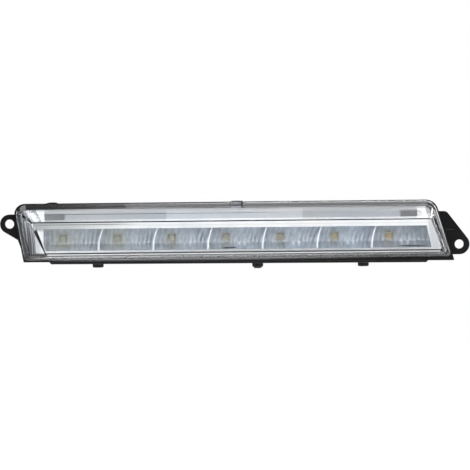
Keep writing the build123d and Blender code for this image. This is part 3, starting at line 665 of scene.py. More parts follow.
@dataclass(frozen=True)
class Finish:
    """A solid surface: two close colours under patches of others, a range of roughness, a fine grain."""

    name: str
    dark: Colour
    light: Colour
    smooth: float
    rough: float
    metallic: float = 0.0
    specular: float = 0.5
    coat: float = 0.0
    mottle_scale: float = 60.0
    grain_scale: float = 1500.0
    grain_height: float = 0.00002
    patches: tuple[Patch, ...] = ()

    GLOSS_FINER = 2.7

    def _measure(self, nodes: Surface) -> None:
        """Adds the axes that only this kind of finish has; a plain one has none."""

    def _tone(self, nodes: Surface) -> Socket:
        """Share of the light colour at each point."""
        return nodes.group(mottle(), Vector=nodes.place, Scale=self.mottle_scale, Low=0.0, High=1.0)

    def _colour(self, nodes: Surface) -> Socket:
        """The two mottled colours, with the patches laid over them."""
        return lay(nodes, nodes.mix(self._tone(nodes), self.dark, self.light), self.patches)

    def _roughness(self, nodes: Surface) -> Socket:
        """Roughness, mottled more finely than the colour."""
        scale = self.GLOSS_FINER * self.mottle_scale
        return nodes.group(mottle(), Vector=nodes.place, Scale=scale, Low=self.smooth, High=self.rough)

    def _surface(self, nodes: Surface, shader: bpy.types.Node) -> Socket:
        """What the material shows: the shader itself."""
        return shader.outputs["BSDF"]

    def material(self) -> bpy.types.Material:
        """Makes the material, or finds it if it is made already.

        Returns:
            The material.
        """
        found = bpy.data.materials.get(self.name)
        if found is not None:
            return found
        made = bpy.data.materials.new(self.name)
        made.use_nodes = True
        made.node_tree.nodes.clear()
        nodes = Surface(made.node_tree)
        self._measure(nodes)
        shader = nodes.add(
            "ShaderNodeBsdfPrincipled", Metallic=self.metallic, Specular_IOR_Level=self.specular,
            Coat_Weight=self.coat, Base_Color=self._colour(nodes), Roughness=self._roughness(nodes))
        if self.grain_height > 0:
            height = nodes.group(grain(), Vector=nodes.place, Scale=self.grain_scale)
            bump = nodes.add("ShaderNodeBump", Height=height, Distance=self.grain_height)
            nodes.put(shader.inputs["Normal"], bump.outputs["Normal"])
        nodes.add("ShaderNodeOutputMaterial", Surface=self._surface(nodes, shader))
        return made


@dataclass(frozen=True)
class ClearFinish(Finish):
    """Clear moulded plastic, frosted low down, that lets light and its own shadow through."""

    refraction: float = 1.52
    shadow: Colour = (0.97, 0.98, 1.0)
    frost: Rise = Rise(Axis.UP, -14.9, -15.2, most=0.25)

    def _roughness(self, nodes: Surface) -> Socket:
        """Adds the frost to the common roughness."""
        return nodes.math("ADD", self.frost.share(nodes), super()._roughness(nodes))

    def _surface(self, nodes: Surface, shader: bpy.types.Node) -> Socket:
        """Refracting shader, with plain transparency for shadow rays.

        Args:
            nodes: The material's tree.
            shader: Its main shader.

        Returns:
            Socket of the shader that shows.
        """
        shader.inputs["Transmission Weight"].default_value = 1.0
        shader.inputs["IOR"].default_value = self.refraction
        clear = nodes.add("ShaderNodeBsdfTransparent", Color=self.shadow)
        path = nodes.add("ShaderNodeLightPath")
        return nodes.blend(path.outputs["Is Shadow Ray"], shader.outputs["BSDF"], clear.outputs["BSDF"])


@dataclass(frozen=True)
class StreakFinish(Finish):
    """Metallised flutes whose tone changes from flute to flute and only slowly along them."""

    streak_scale: float = 1.3
    drift: float = 0.12
    led_first: float = -123.25
    led_pitch: float = 39.065
    led_height: float = -2.3

    def _measure(self, nodes: Surface) -> None:
        """Adds the flute's tone and the distances from the nearest LED and from the row of them.

        The distance past the nearest LED is that of x, counted in pitches from the first LED,
        from its nearest whole number.

        Args:
            nodes: The material's tree.
        """
        pitch = self.led_pitch * MM
        first = 0.5 - self.led_first / self.led_pitch
        count = nodes.math("MULTIPLY_ADD", nodes.axes[Axis.ACROSS], 1 / pitch, first)
        part = nodes.math("SUBTRACT", nodes.math("FRACT", count), 0.5)
        past = nodes.math("MULTIPLY", part, pitch)
        above = nodes.math("SUBTRACT", nodes.axes[Axis.UP], self.led_height * MM)
        nodes.axes[Axis.PAST_LED] = past
        nodes.axes[Axis.BESIDE_LED] = nodes.math("ABSOLUTE", past)
        nodes.axes[Axis.OFF_ROW] = nodes.math("ABSOLUTE", above)
        nodes.axes[Axis.STREAK] = nodes.math("MULTIPLY", self._tone(nodes), MM)

    def _tone(self, nodes: Surface) -> Socket:
        """Noise read at the flute's number across and at a small share of the height along.

        Args:
            nodes: The material's tree.

        Returns:
            Socket of the light colour's share.
        """
        number = nodes.add("ShaderNodeAttribute")
        number.attribute_name = "across"
        height = nodes.math("MULTIPLY", nodes.axes[Axis.UP], self.drift / MM)
        where = nodes.add("ShaderNodeCombineXYZ", X=number.outputs["Fac"], Y=height).outputs["Vector"]
        return nodes.group(mottle(), Vector=where, Scale=self.streak_scale, Low=0.0, High=1.0)


@dataclass(frozen=True)
class BezelFinish(Finish):
    """Bright frame whose left flange is painted in shade, crossed by upright lines of painted reflection."""

    middle: float = -1.2
    # Painted shade on the frame's left end, in upright lines of painted reflection that grow lighter upwards
    # as painted light.
    left_shade: Rise = Rise(Axis.ACROSS, -141.6, -141.8)
    left_shade_dark: Colour = (0.03, 0.033, 0.04)
    left_shade_light: Colour = (0.6, 0.63, 0.68)
    upward_light: Rise = Rise(Axis.UP, 2.0, 18.0)
    line_scale: float = 760.0
    line_low: float = -1.7
    line_high: float = 2.0

    def _measure(self, nodes: Surface) -> None:
        """Adds the distance from the frame's middle."""
        off = nodes.math("SUBTRACT", nodes.axes[Axis.ACROSS], self.middle * MM)
        nodes.axes[Axis.OFF_MIDDLE] = nodes.math("ABSOLUTE", off)

    def _colour(self, nodes: Surface) -> Socket:
        """Lays the frame's patches, and over the left flange its painted shade in lines of noise, paled
        upwards by painted light.

        Args:
            nodes: The material's tree.

        Returns:
            Socket of the colour.
        """
        where = nodes.add("ShaderNodeCombineXYZ", X=nodes.axes[Axis.ACROSS]).outputs["Vector"]
        lines = nodes.group(mottle(), Vector=where, Scale=self.line_scale,
                            Low=self.line_low, High=self.line_high)
        tone = nodes.math("ADD", lines, self.upward_light.share(nodes))
        lined = nodes.mix(tone, self.left_shade_dark, self.left_shade_light)
        return nodes.mix(self.left_shade.share(nodes), super()._colour(nodes), lined)


@dataclass(frozen=True)
class LayerFinish(Finish):
    """Thin layer of primer or sealant whose light colour fades towards its ends as painted shade."""

    fade: Limit = Rise(Axis.ACROSS, -110.0, 10.0)
    spots: Pair | None = None
    left_lean: float = 0.1816

    def _measure(self, nodes: Surface) -> None:
        """Adds x plus a share of the height, which is even along the leaning left edge."""
        across, up = nodes.axes[Axis.ACROSS], nodes.axes[Axis.UP]
        nodes.axes[Axis.LEANING] = nodes.math("MULTIPLY_ADD", up, self.left_lean, across)

    def _tone(self, nodes: Surface) -> Socket:
        """Fades along the lamp as painted shade, broken up by spots where there are any.

        Args:
            nodes: The material's tree.

        Returns:
            Socket of the light colour's share.
        """
        share = self.fade.share(nodes)
        if self.spots is None:
            return share
        low, high = self.spots
        spots = nodes.group(mottle(), Vector=nodes.place, Scale=self.mottle_scale, Low=low, High=high)
        return nodes.times(share, spots)


ACROSS, BACK, UP = Axis.ACROSS, Axis.BACK, Axis.UP

HOUSING_BLACK = Finish(
    "housing_black", (0.003, 0.003, 0.0034), (0.006, 0.006, 0.007), 0.4, 0.55, specular=0.1,
    grain_scale=2200.0, grain_height=0.00003, patches=(
        # Painted light: the back is lighter so that it reads where little light reaches it.
        Patch("back painted lighter", (0.017, 0.017, 0.018), (Rise(BACK, 1.0, 6.0),)),
        # Painted highlight along the rim's lip just under the lens, fading towards both ends.
        Patch("painted highlight on the lip under the lens", (0.085, 0.086, 0.09), (
            Rise(BACK, -7.8, -7.9), Band(UP, -18.5, -17.0, 0.4),
            Rise(ACROSS, 120.0, 10.0), Rise(ACROSS, -138.0, -85.0))),
        Patch("seam on the right ear", (0.05, 0.05, 0.052), (
            Band(ACROSS, 151.5, 158.8, 2.0), Band(UP, 1.35, 2.15, 0.3), Rise(BACK, 0.0, -0.4))),
    ))

TAB_SHADE = (0.1, 0.105, 0.11)
LENS_FOOT = Rise(UP, -14.2, -14.7)
CLEAR_LENS = ClearFinish(
    "clear_lens", (0.96, 0.98, 1.0), (1.0, 1.0, 1.0), 0.0, 0.015, mottle_scale=25.0, grain_height=0.0,
    patches=(
        Patch("shaded top flange", (0.6, 0.61, 0.62), (
            Rise(ACROSS, -70.0, -20.0), Band(UP, 18.5, 20.8, 0.4),
            Band(ACROSS, -2.4, 6.4, 0.2, outside=True))),
        Patch("right end of the tab", TAB_SHADE, (Band(ACROSS, 5.0, 6.5, 0.2), Rise(UP, 18.8, 19.1))),
        Patch("left end of the tab", TAB_SHADE, (
            Band(ACROSS, -3.1, -2.0, 0.2), Rise(UP, 18.8, 19.1, most=0.4))),
        # Painted shade: darker tints in the upper left, in the lower left corner and along the lower edge
        # towards the right.
        Patch("painted shade at upper left", (0.3, 0.305, 0.31), (Rise(ACROSS, -95.0, -140.0), Rise(UP, 18.4, 18.8))),
        Patch("painted shade at lower left", (0.25, 0.255, 0.26), (Rise(ACROSS, -126.0, -138.0), LENS_FOOT)),
        Patch("painted shade at lower right", (0.55, 0.555, 0.56), (Rise(ACROSS, 30.0, 130.0), LENS_FOOT)),
    ))

BRIGHT_BEZEL = BezelFinish(
    "bright_bezel", (0.71, 0.72, 0.73), (0.81, 0.81, 0.81), 0.34, 0.48, metallic=0.35, mottle_scale=90.0,
    grain_scale=900.0, grain_height=0.000006, patches=(
        Patch("line on the face", (0.66, 0.64, 0.6), (Band(UP, 6.95, 7.75, 0.3),)),
        # Painted shade on the upper left of the face, with a darker painted shade line along its top edge.
        Patch("shaded upper left", (0.36, 0.37, 0.365), (Rise(ACROSS, -70.0, -140.0), Rise(UP, 3.0, 5.0))),
        Patch("shaded line at upper left", (0.2, 0.21, 0.2), (Rise(ACROSS, -60.0, -90.0), Band(UP, 7.8, 8.7, 0.2))),
        Patch("low strip", (0.45, 0.46, 0.46), (Rise(UP, -10.2, -10.5), Rise(ACROSS, -160.0, -20.0))),
        Patch("right strip", (0.5, 0.51, 0.52), (Rise(ACROSS, 137.5, 139.5),)),
        # Painted shade on the bezel's downward-facing underside.
        Patch("painted shade on the underside", (0.08, 0.08, 0.085), (Rise(UP, -11.75, -11.9),)),
        # Painted light and shade on the top flank: darker overall and darker still near both ends, lighter
        # in an upper strip, near white on the shoulder, with a dark line at the step on the left.
        Patch("painted shade on the top flank", (0.42, 0.44, 0.46), (Rise(UP, 10.6, 10.9),), (
            Patch("painted shade at the flank's ends", (0.17, 0.175, 0.18), (Band(Axis.OFF_MIDDLE, 119.0, 136.0, 1.5),)),
            Patch("painted light on the upper strip", (0.55, 0.56, 0.57), (Rise(UP, 14.9, 15.1),)),
            Patch("shoulder", (0.97, 0.975, 0.98), (Rise(UP, 16.0, 16.2),)),
            Patch("painted shade line at the step", (0.08, 0.085, 0.09), (
                Rise(ACROSS, 40.0, 10.0), Band(UP, 14.3, 14.9, 0.15))),
        )),
    ))

# Painted shade for the deep middle of the cells and for the last cell.
CELL_SHADE = (0.36, 0.37, 0.38)
SILL_MARK = (0.1, 0.105, 0.11)
# Painted highlights: pale squares on the sill of the right cells, beside each LED.
SILL_HIGHLIGHT = (0.95, 0.96, 0.97)
MARK_HEIGHTS = Band(UP, -10.25, -8.85, 0.4)
HIGHLIGHT_PLACES = (Band(UP, -8.8, -5.2, 0.8), Rise(ACROSS, -80.0, 30.0))
FLUTED_MIRROR = StreakFinish(
    "fluted_mirror", (0.46, 0.51, 0.56), (0.78, 0.82, 0.87), 0.52, 0.64, metallic=0.85,
    grain_scale=1200.0, grain_height=0.000004, patches=(
        Patch("haze to the left", (0.72, 0.72, 0.7), (Rise(ACROSS, 30.0, -400.0),)),
        # Painted shade in the hollow of the cells, strongest towards the left, and in the last cell.
        Patch("painted shade in the hollow of the cells", CELL_SHADE, (
            Rise(ACROSS, -20.0, -110.0, 0.2, 0.42), Band(UP, -9.4, -0.6, 3.6))),
        Patch("painted shade in the last cell", CELL_SHADE, (Rise(ACROSS, 90.0, 104.0, most=0.22),)),
        Patch("right mark on the sill", SILL_MARK, (Band(ACROSS, 115.0, 140.0, 8.0), MARK_HEIGHTS)),
        Patch("middle mark on the sill", SILL_MARK, (Band(ACROSS, -9.4, 2.4, 2.4), MARK_HEIGHTS)),
        # Painted reflection of the LEDs' colour in the flutes round them, towards the left, and a painted
        # glow close to each LED.
        Patch("painted reflection round the LEDs", (0.58, 0.57, 0.46), (
            Rise(Axis.BESIDE_LED, 9.5, 3.0), Rise(Axis.OFF_ROW, 9.5, 3.0),
            Rise(ACROSS, 0.0, -90.0, most=0.38))),
        Patch("painted glow at the LEDs", (0.5, 0.45, 0.33), (
            Rise(Axis.BESIDE_LED, 5.2, 1.8), Rise(Axis.OFF_ROW, 5.2, 1.8), Rise(ACROSS, -220.0, 60.0),
            Rise(Axis.STREAK, 0.0, 1.0, least=0.5))),
        # Painted highlights on the sill beside each LED in the right cells.
        Patch("near painted highlight", SILL_HIGHLIGHT, (Band(Axis.PAST_LED, 8.0, 10.4, 0.8), *HIGHLIGHT_PLACES)),
        Patch("far painted highlight", SILL_HIGHLIGHT, (Band(Axis.PAST_LED, 12.2, 14.6, 0.8), *HIGHLIGHT_PLACES)),
        # Painted light on the dividers' front edges, weaker near the top and towards the left.
        Patch("painted light on the edges of the dividers", (0.84, 0.85, 0.86), (
            Rise(BACK, -12.9, -13.2), Rise(UP, 5.2, 1.6, least=0.35),
            Rise(ACROSS, -110.0, -45.0, least=0.45))),
    ))

# The primer's colours are painted light and shade seen through the lens: a painted reflection lighter to the
# right, painted shade at the bottom and right end, painted light on the bead, at the right end and along a
# lower line, painted shade at that line's ends, and a painted highlight along the left edge.
PRIMER_SHADE = (0.04, 0.04, 0.042)
RIGHT_END = Rise(ACROSS, 138.0, 140.0)
PRIMER = LayerFinish(
    "primer", (0.015, 0.015, 0.016), (0.37, 0.375, 0.38), 0.5, 0.65, grain_height=0.000005, patches=(
        Patch("painted shade at the bottom and right end", PRIMER_SHADE, (Either(Rise(UP, -12.0, -12.5), RIGHT_END),), (
            Patch("painted light on the bead and right end", (0.86, 0.86, 0.85), (Either(Rise(BACK, -8.4, -8.6), RIGHT_END),), (
                Patch("painted shade on the end, deeper downwards", (0.2, 0.2, 0.205), (
                    RIGHT_END, Rise(BACK, -8.6, -8.4), Rise(UP, 4.0, -6.0))),
            )),
            Patch("lower line", (0.34, 0.34, 0.345), (Rise(UP, -14.8, -15.2),), (
                Patch("painted shade at the lower line's ends", PRIMER_SHADE, (
                    Either(Rise(ACROSS, 20.0, 120.0), Rise(ACROSS, -120.0, -138.0)),)),
            )),
        )),
        Patch("painted highlight along the left edge", (0.14, 0.145, 0.15), (Rise(Axis.LEANING, -151.8, -152.2),)),
    ))
# The sealant's light colour fades to painted shade towards both ends.
SEALANT = LayerFinish("sealant", (0.03, 0.03, 0.032), (0.62, 0.63, 0.64), 0.45, 0.6,
                      fade=Band(ACROSS, -110.0, 141.0, 120.0), spots=(0.75, 1.0))

BOARD_WHITE = Finish("board_white", (0.74, 0.74, 0.72), (0.84, 0.84, 0.82), 0.35, 0.5, grain_height=0.000005)
BOARD_GREEN = Finish("board_green", (0.02, 0.12, 0.05), (0.04, 0.2, 0.08), 0.28, 0.42, coat=0.3)
PAD_GREY = Finish("pad_grey", (0.3, 0.34, 0.38), (0.38, 0.42, 0.46), 0.7, 0.85)
SINK_ALUMINIUM = Finish("sink_aluminium", (0.6, 0.61, 0.62), (0.75, 0.76, 0.77), 0.3, 0.45, metallic=1.0)
SCREW_ZINC = Finish("screw_zinc", (0.5, 0.5, 0.5), (0.68, 0.68, 0.69), 0.22, 0.38, metallic=1.0)
FERRITE = Finish("ferrite", (0.05, 0.05, 0.055), (0.09, 0.09, 0.095), 0.5, 0.65)
CAN_ALUMINIUM = Finish("can_aluminium", (0.65, 0.65, 0.66), (0.8, 0.8, 0.81), 0.18, 0.3, metallic=1.0)
MOULD_BLACK = Finish("mould_black", (0.008, 0.008, 0.009), (0.018, 0.018, 0.019), 0.35, 0.5, specular=0.4,
                     grain_scale=2600.0, grain_height=0.000015)
CONTACT_BRASS = Finish("contact_brass", (0.62, 0.5, 0.24), (0.76, 0.64, 0.36), 0.2, 0.34, metallic=1.0)
GASKET_RED = Finish("gasket_red", (0.2, 0.05, 0.03), (0.3, 0.08, 0.05), 0.5, 0.65)
RUBBER_BLACK = Finish("rubber_black", (0.016, 0.016, 0.016), (0.03, 0.03, 0.03), 0.55, 0.7,
                      grain_height=0.00001)

NODE_FINISHES: dict[str, Finish] = {
    "housing": HOUSING_BLACK,
    "lens_seal": SEALANT,
    "led_board": BOARD_WHITE,
    "thermal_pad": PAD_GREY,
    "heat_sink": SINK_ALUMINIUM,
    "board_screws": SCREW_ZINC,
    "driver_screws": SCREW_ZINC,
    "driver_board": BOARD_GREEN,
    "inductor": FERRITE,
    "capacitor": CAN_ALUMINIUM,
    "driver_chip": MOULD_BLACK,
    "link_block": MOULD_BLACK,
    "link_pins": CONTACT_BRASS,
    "connector_socket": MOULD_BLACK,
    "connector_seal": GASKET_RED,
    "terminals": CONTACT_BRASS,
    "breather_cap": RUBBER_BLACK,
}


def settle(piece: Piece, finish: Finish, slot: Slot, *nodes: str) -> None:
    """Gives a piece its finish and its body, and lets it stand for nodes.

    Args:
        piece: The new piece.
        finish: Its finish.
        slot: The record's slot; not used.
        nodes: Names of the nodes that it stands for.
    """
    piece.data.materials.append(finish.material())
    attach(piece, BODY)
    if nodes:
        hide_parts(*nodes)
    LOG.info("%s: %d faces, %s", piece.name, len(piece.data.polygons), finish.name)


def front_depth(node: str) -> float:
    """How far in front of the ears' rear face a node reaches, in millimetres."""
    return -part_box(node)[0].y / MM


def back_depth(node: str) -> float:
    """Where a node ends at the back, as a depth in millimetres."""
    return -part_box(node)[1].y / MM


# The lamp's sub-assemblies


@dataclass
class Lens:
    """Stepped clear lens: a flange, sloping flanks, a flat window, and a leg for the glue."""

    outline: Outline = Outline.of(
        [(-157.9, 22.9), (143.0, 22.9), (155.6, -17.3), (-150.6, -17.3)], [7.4, 9.0, 2.2, 2.2])
    window: Outline = Outline.of(
        [(-146.2, 10.5), (141.6, 10.5), (152.3, -14.7), (-134.3, -14.7)], 2.4)
    flange_widths: tuple[float, ...] = (3.9, 1.6, 1.0, 3.0)
    foot_radii: tuple[float, ...] = (5.0, 6.6, 2.4, 2.4)
    rim_depth: float = 8.0
    flange: float = 2.6
    wall: float = 2.4
    bottom_wall: float = 0.9
    leg_inset: float = 1.0
    leg_width: float = 1.7
    crown: float = 0.9
    air: float = 0.03
    lip_rounding: float = 0.2
    flange_rounding: float = 0.5
    window_rounding: float = 0.7
    inner_rounding: float = 0.3
    window_margin: float = 3.0
    inner_margin: float = 2.0
    tab_centre: float = 2.0
    tab_width: float = 8.3
    tab_proud: float = 1.0
    tab_sunk: float = 0.3
    tab_radius: float = 0.5
    tab_rounding: float = 0.4
    tab_margin: float = 1.2

    def __post_init__(self) -> None:
        """Works out the depths and the foot of the sloping flanks."""
        self.front = front_depth("lens")
        self.leg_end = back_depth("lens")
        self.flange_front = self.rim_depth + self.flange
        foot = self.outline.inset(list(self.flange_widths))
        self.foot = Outline(foot.corners, np.array(self.foot_radii))

    def slants(self) -> np.ndarray:
        """How much longer the wall is across each flank than square to it.

        With the run of a flank its largest level distance from foot to window, this is the
        length of the hypotenuse of 1 and run over rise.

        Returns:
            One length for the top, right, bottom and left flank.
        """
        ends = np.stack([self.window.corners, np.roll(self.window.corners, -1, axis=0)]) - self.foot.corners
        runs = np.abs((ends * self.foot.inward()).sum(axis=-1)).max(axis=0)
        return np.hypot(1, runs / (self.front - self.flange_front))

    def inside(self, depth: float, thickness: float | np.ndarray) -> Outline:
        """Outline at a depth, a thickness inside the flanks' outer faces."""
        share = (depth - self.flange_front) / (self.front - self.flange_front)
        return self.foot.towards(self.window, share).inset(thickness * self.slants())

    def build(self) -> Piece:
        """Makes the outer skin from leg to window, the inner skin from window to leg, and the top tab.

        Returns:
            The lens.
        """
        leg_out = self.outline.inset(self.leg_inset)
        leg_in = self.outline.inset(self.leg_inset + self.leg_width)
        back = self.front - self.wall
        under = self.rim_depth + self.air
        leg_end = self.leg_end + self.air
        outer = Skin([
            Station(leg_out, leg_end),
            Station(leg_out, under),
            Station(self.outline, under, self.lip_rounding),
            Station(self.outline, self.flange_front - self.crown, self.flange_rounding),
            Station(self.foot, self.flange_front, self.flange_rounding),
            Station(self.window, self.front, self.window_rounding),
            Station(self.window.inset(self.window_margin), self.front),
        ])
        walls = np.array([self.wall, self.wall, self.bottom_wall, self.wall])
        window_in = self.inside(back, walls)
        foot_in = self.inside(under, walls)
        foot_in.corners[2:, 1] = np.maximum(foot_in.corners[2:, 1], leg_in.corners[2:, 1] + self.air)
        inner = Skin([
            Station(window_in.inset(self.inner_margin), back),
            Station(window_in, back, self.inner_rounding),
            Station(foot_in, under, self.inner_rounding),
            Station(leg_in, under, self.inner_rounding),
            Station(leg_in, leg_end),
            Station(leg_out, leg_end),
        ])
        mesher = Mesher()
        mesher.tube(outer.loops(), first=False)
        mesher.tube(inner.loops(), last=False)
        self._tab(mesher)
        return mesher.finish("lens_clear", Crease.SOFT)

    def _tab(self, mesher: Mesher) -> None:
        """Adds a small block over the flange's top edge, its edges rounded.

        Args:
            mesher: Takes the block's points.
        """
        left, right = self.tab_centre - self.tab_width / 2, self.tab_centre + self.tab_width / 2
        face = Outline.box(left, right, self.foot.corners[0, 1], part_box("lens")[1].z / MM, self.tab_radius)
        front = self.flange_front + self.tab_proud
        mesher.tube(Skin([
            Station(face, self.rim_depth + self.tab_sunk),
            Station(face, front, self.tab_rounding),
            Station(face.inset(self.tab_margin), front),
        ]).loops())

    def dress(self) -> None:
        """Makes the lens stand for its node."""
        settle(self.build(), CLEAR_LENS, Slot.LENS, "lens")


@dataclass
class Primer:
    """Two thin bands of bonding primer on the rim under the lens, and a raised bead along the bottom,
    coloured in painted light and shade.
    """

    lens: Lens
    thickness: float = 0.02
    bands: tuple[Pair, ...] = ((0.25, 0.9), (3.1, 3.75))
    bead_ends: Pair = (-134.0, 147.0)
    bead_heights: Pair = (-13.62, -12.88)
    bead_rise: float = 7.0
    bead_radius: float = 0.08

    def build(self) -> Piece:
        """Makes a flat closed ring for each band, between its two insets, and a bar for the bead.

        Returns:
            The primer.
        """
        mesher = Mesher()
        low, high = self.lens.rim_depth, self.lens.rim_depth + self.thickness
        for near, far in self.bands:
            edge, end = self.lens.outline.inset(near), self.lens.outline.inset(far)
            ring = Skin([Station(edge, low), Station(edge, high), Station(end, high), Station(end, low)])
            mesher.grid(ring.loops(closed=True), wrap=True)
        bead = Outline.box(*self.bead_ends, *self.bead_heights, self.bead_radius)
        mesher.tube(Skin([
            Station(bead, low),
            Station(bead, low + self.bead_rise - self.bead_radius),
            Station(Outline(bead.inset(self.bead_radius).corners, bead.radii), low + self.bead_rise),
        ]).loops())
        return mesher.finish("rim_primer", Crease.SOFT)

    def dress(self) -> None:
        """Gives the bands and the bead their finish and the lamp's body."""
        settle(self.build(), PRIMER, Slot.SEALANT)


@dataclass
class Bezel:
    """Bright frame round the cells: flange, straight skirt, sloping flanks and a face with a view."""

    lens: Lens
    flange_gap: float = 4.7
    flange: float = 1.5
    wall: float = 1.2
    gap: float = 0.5
    face_depth: float = 3.3
    shoulder_setback: float = 7.8
    shoulder_drop: float = 1.9
    shoulder_left: float = -142.4
    face_lift: float = 0.5
    radius: float = 1.2
    flange_rounding: float = 0.3
    skirt_rounding: float = 0.4
    shoulder_rounding: float = 0.7
    face_rounding: float = 0.6
    view_rounding: float = 0.15
    view: Outline = Outline.of([(-136.25, 5.13), (137.21, 5.13), (140.61, -10.4), (-136.25, -10.4)], 0.3)

    def __post_init__(self) -> None:
        """Works out the outlines from the lens and the depths from the node."""
        self.front = front_depth("bezel")
        self.floor = back_depth("bezel")
        self.base = self.lens.outline.inset(self.flange_gap)
        shoulder = self.base.inset([self.shoulder_drop, self.gap, 0, 0]).corners
        shoulder[[0, 3], 0] = self.shoulder_left
        self.shoulder = Outline(shoulder, np.full(4, self.radius))
        face = self.lens.inside(self.front, self.lens.wall + self.gap).inset([0, 0, self.face_lift, 0])
        self.face = Outline(face.corners, np.full(4, self.radius))

    def build(self) -> Piece:
        """Makes one closed skin from the flange over the face, back through the view and down the inside.

        Returns:
            The bezel.
        """
        inner_shoulder = self.shoulder.inset(self.wall)
        shoulder_depth = self.front - self.shoulder_setback
        flange_front = self.floor + self.flange
        behind = self.front - self.face_depth
        mesher = Mesher()
        mesher.grid(Skin([
            Station(self.base, self.floor),
            Station(self.base, flange_front, self.flange_rounding),
            Station(self.shoulder, flange_front, self.skirt_rounding),
            Station(self.shoulder, shoulder_depth, self.shoulder_rounding),
            Station(self.face, self.front, self.face_rounding),
            Station(self.view, self.front, self.view_rounding),
            Station(self.view, behind),
            Station(self.face.inset(self.wall), behind),
            Station(inner_shoulder, shoulder_depth),
            Station(inner_shoulder, self.floor),
        ]).loops(closed=True), wrap=True)
        return mesher.finish("bezel_bright", Crease.SOFT)

    def dress(self) -> None:
        """Makes the bezel stand for its node."""
        settle(self.build(), BRIGHT_BEZEL, Slot.BEZEL, "bezel")


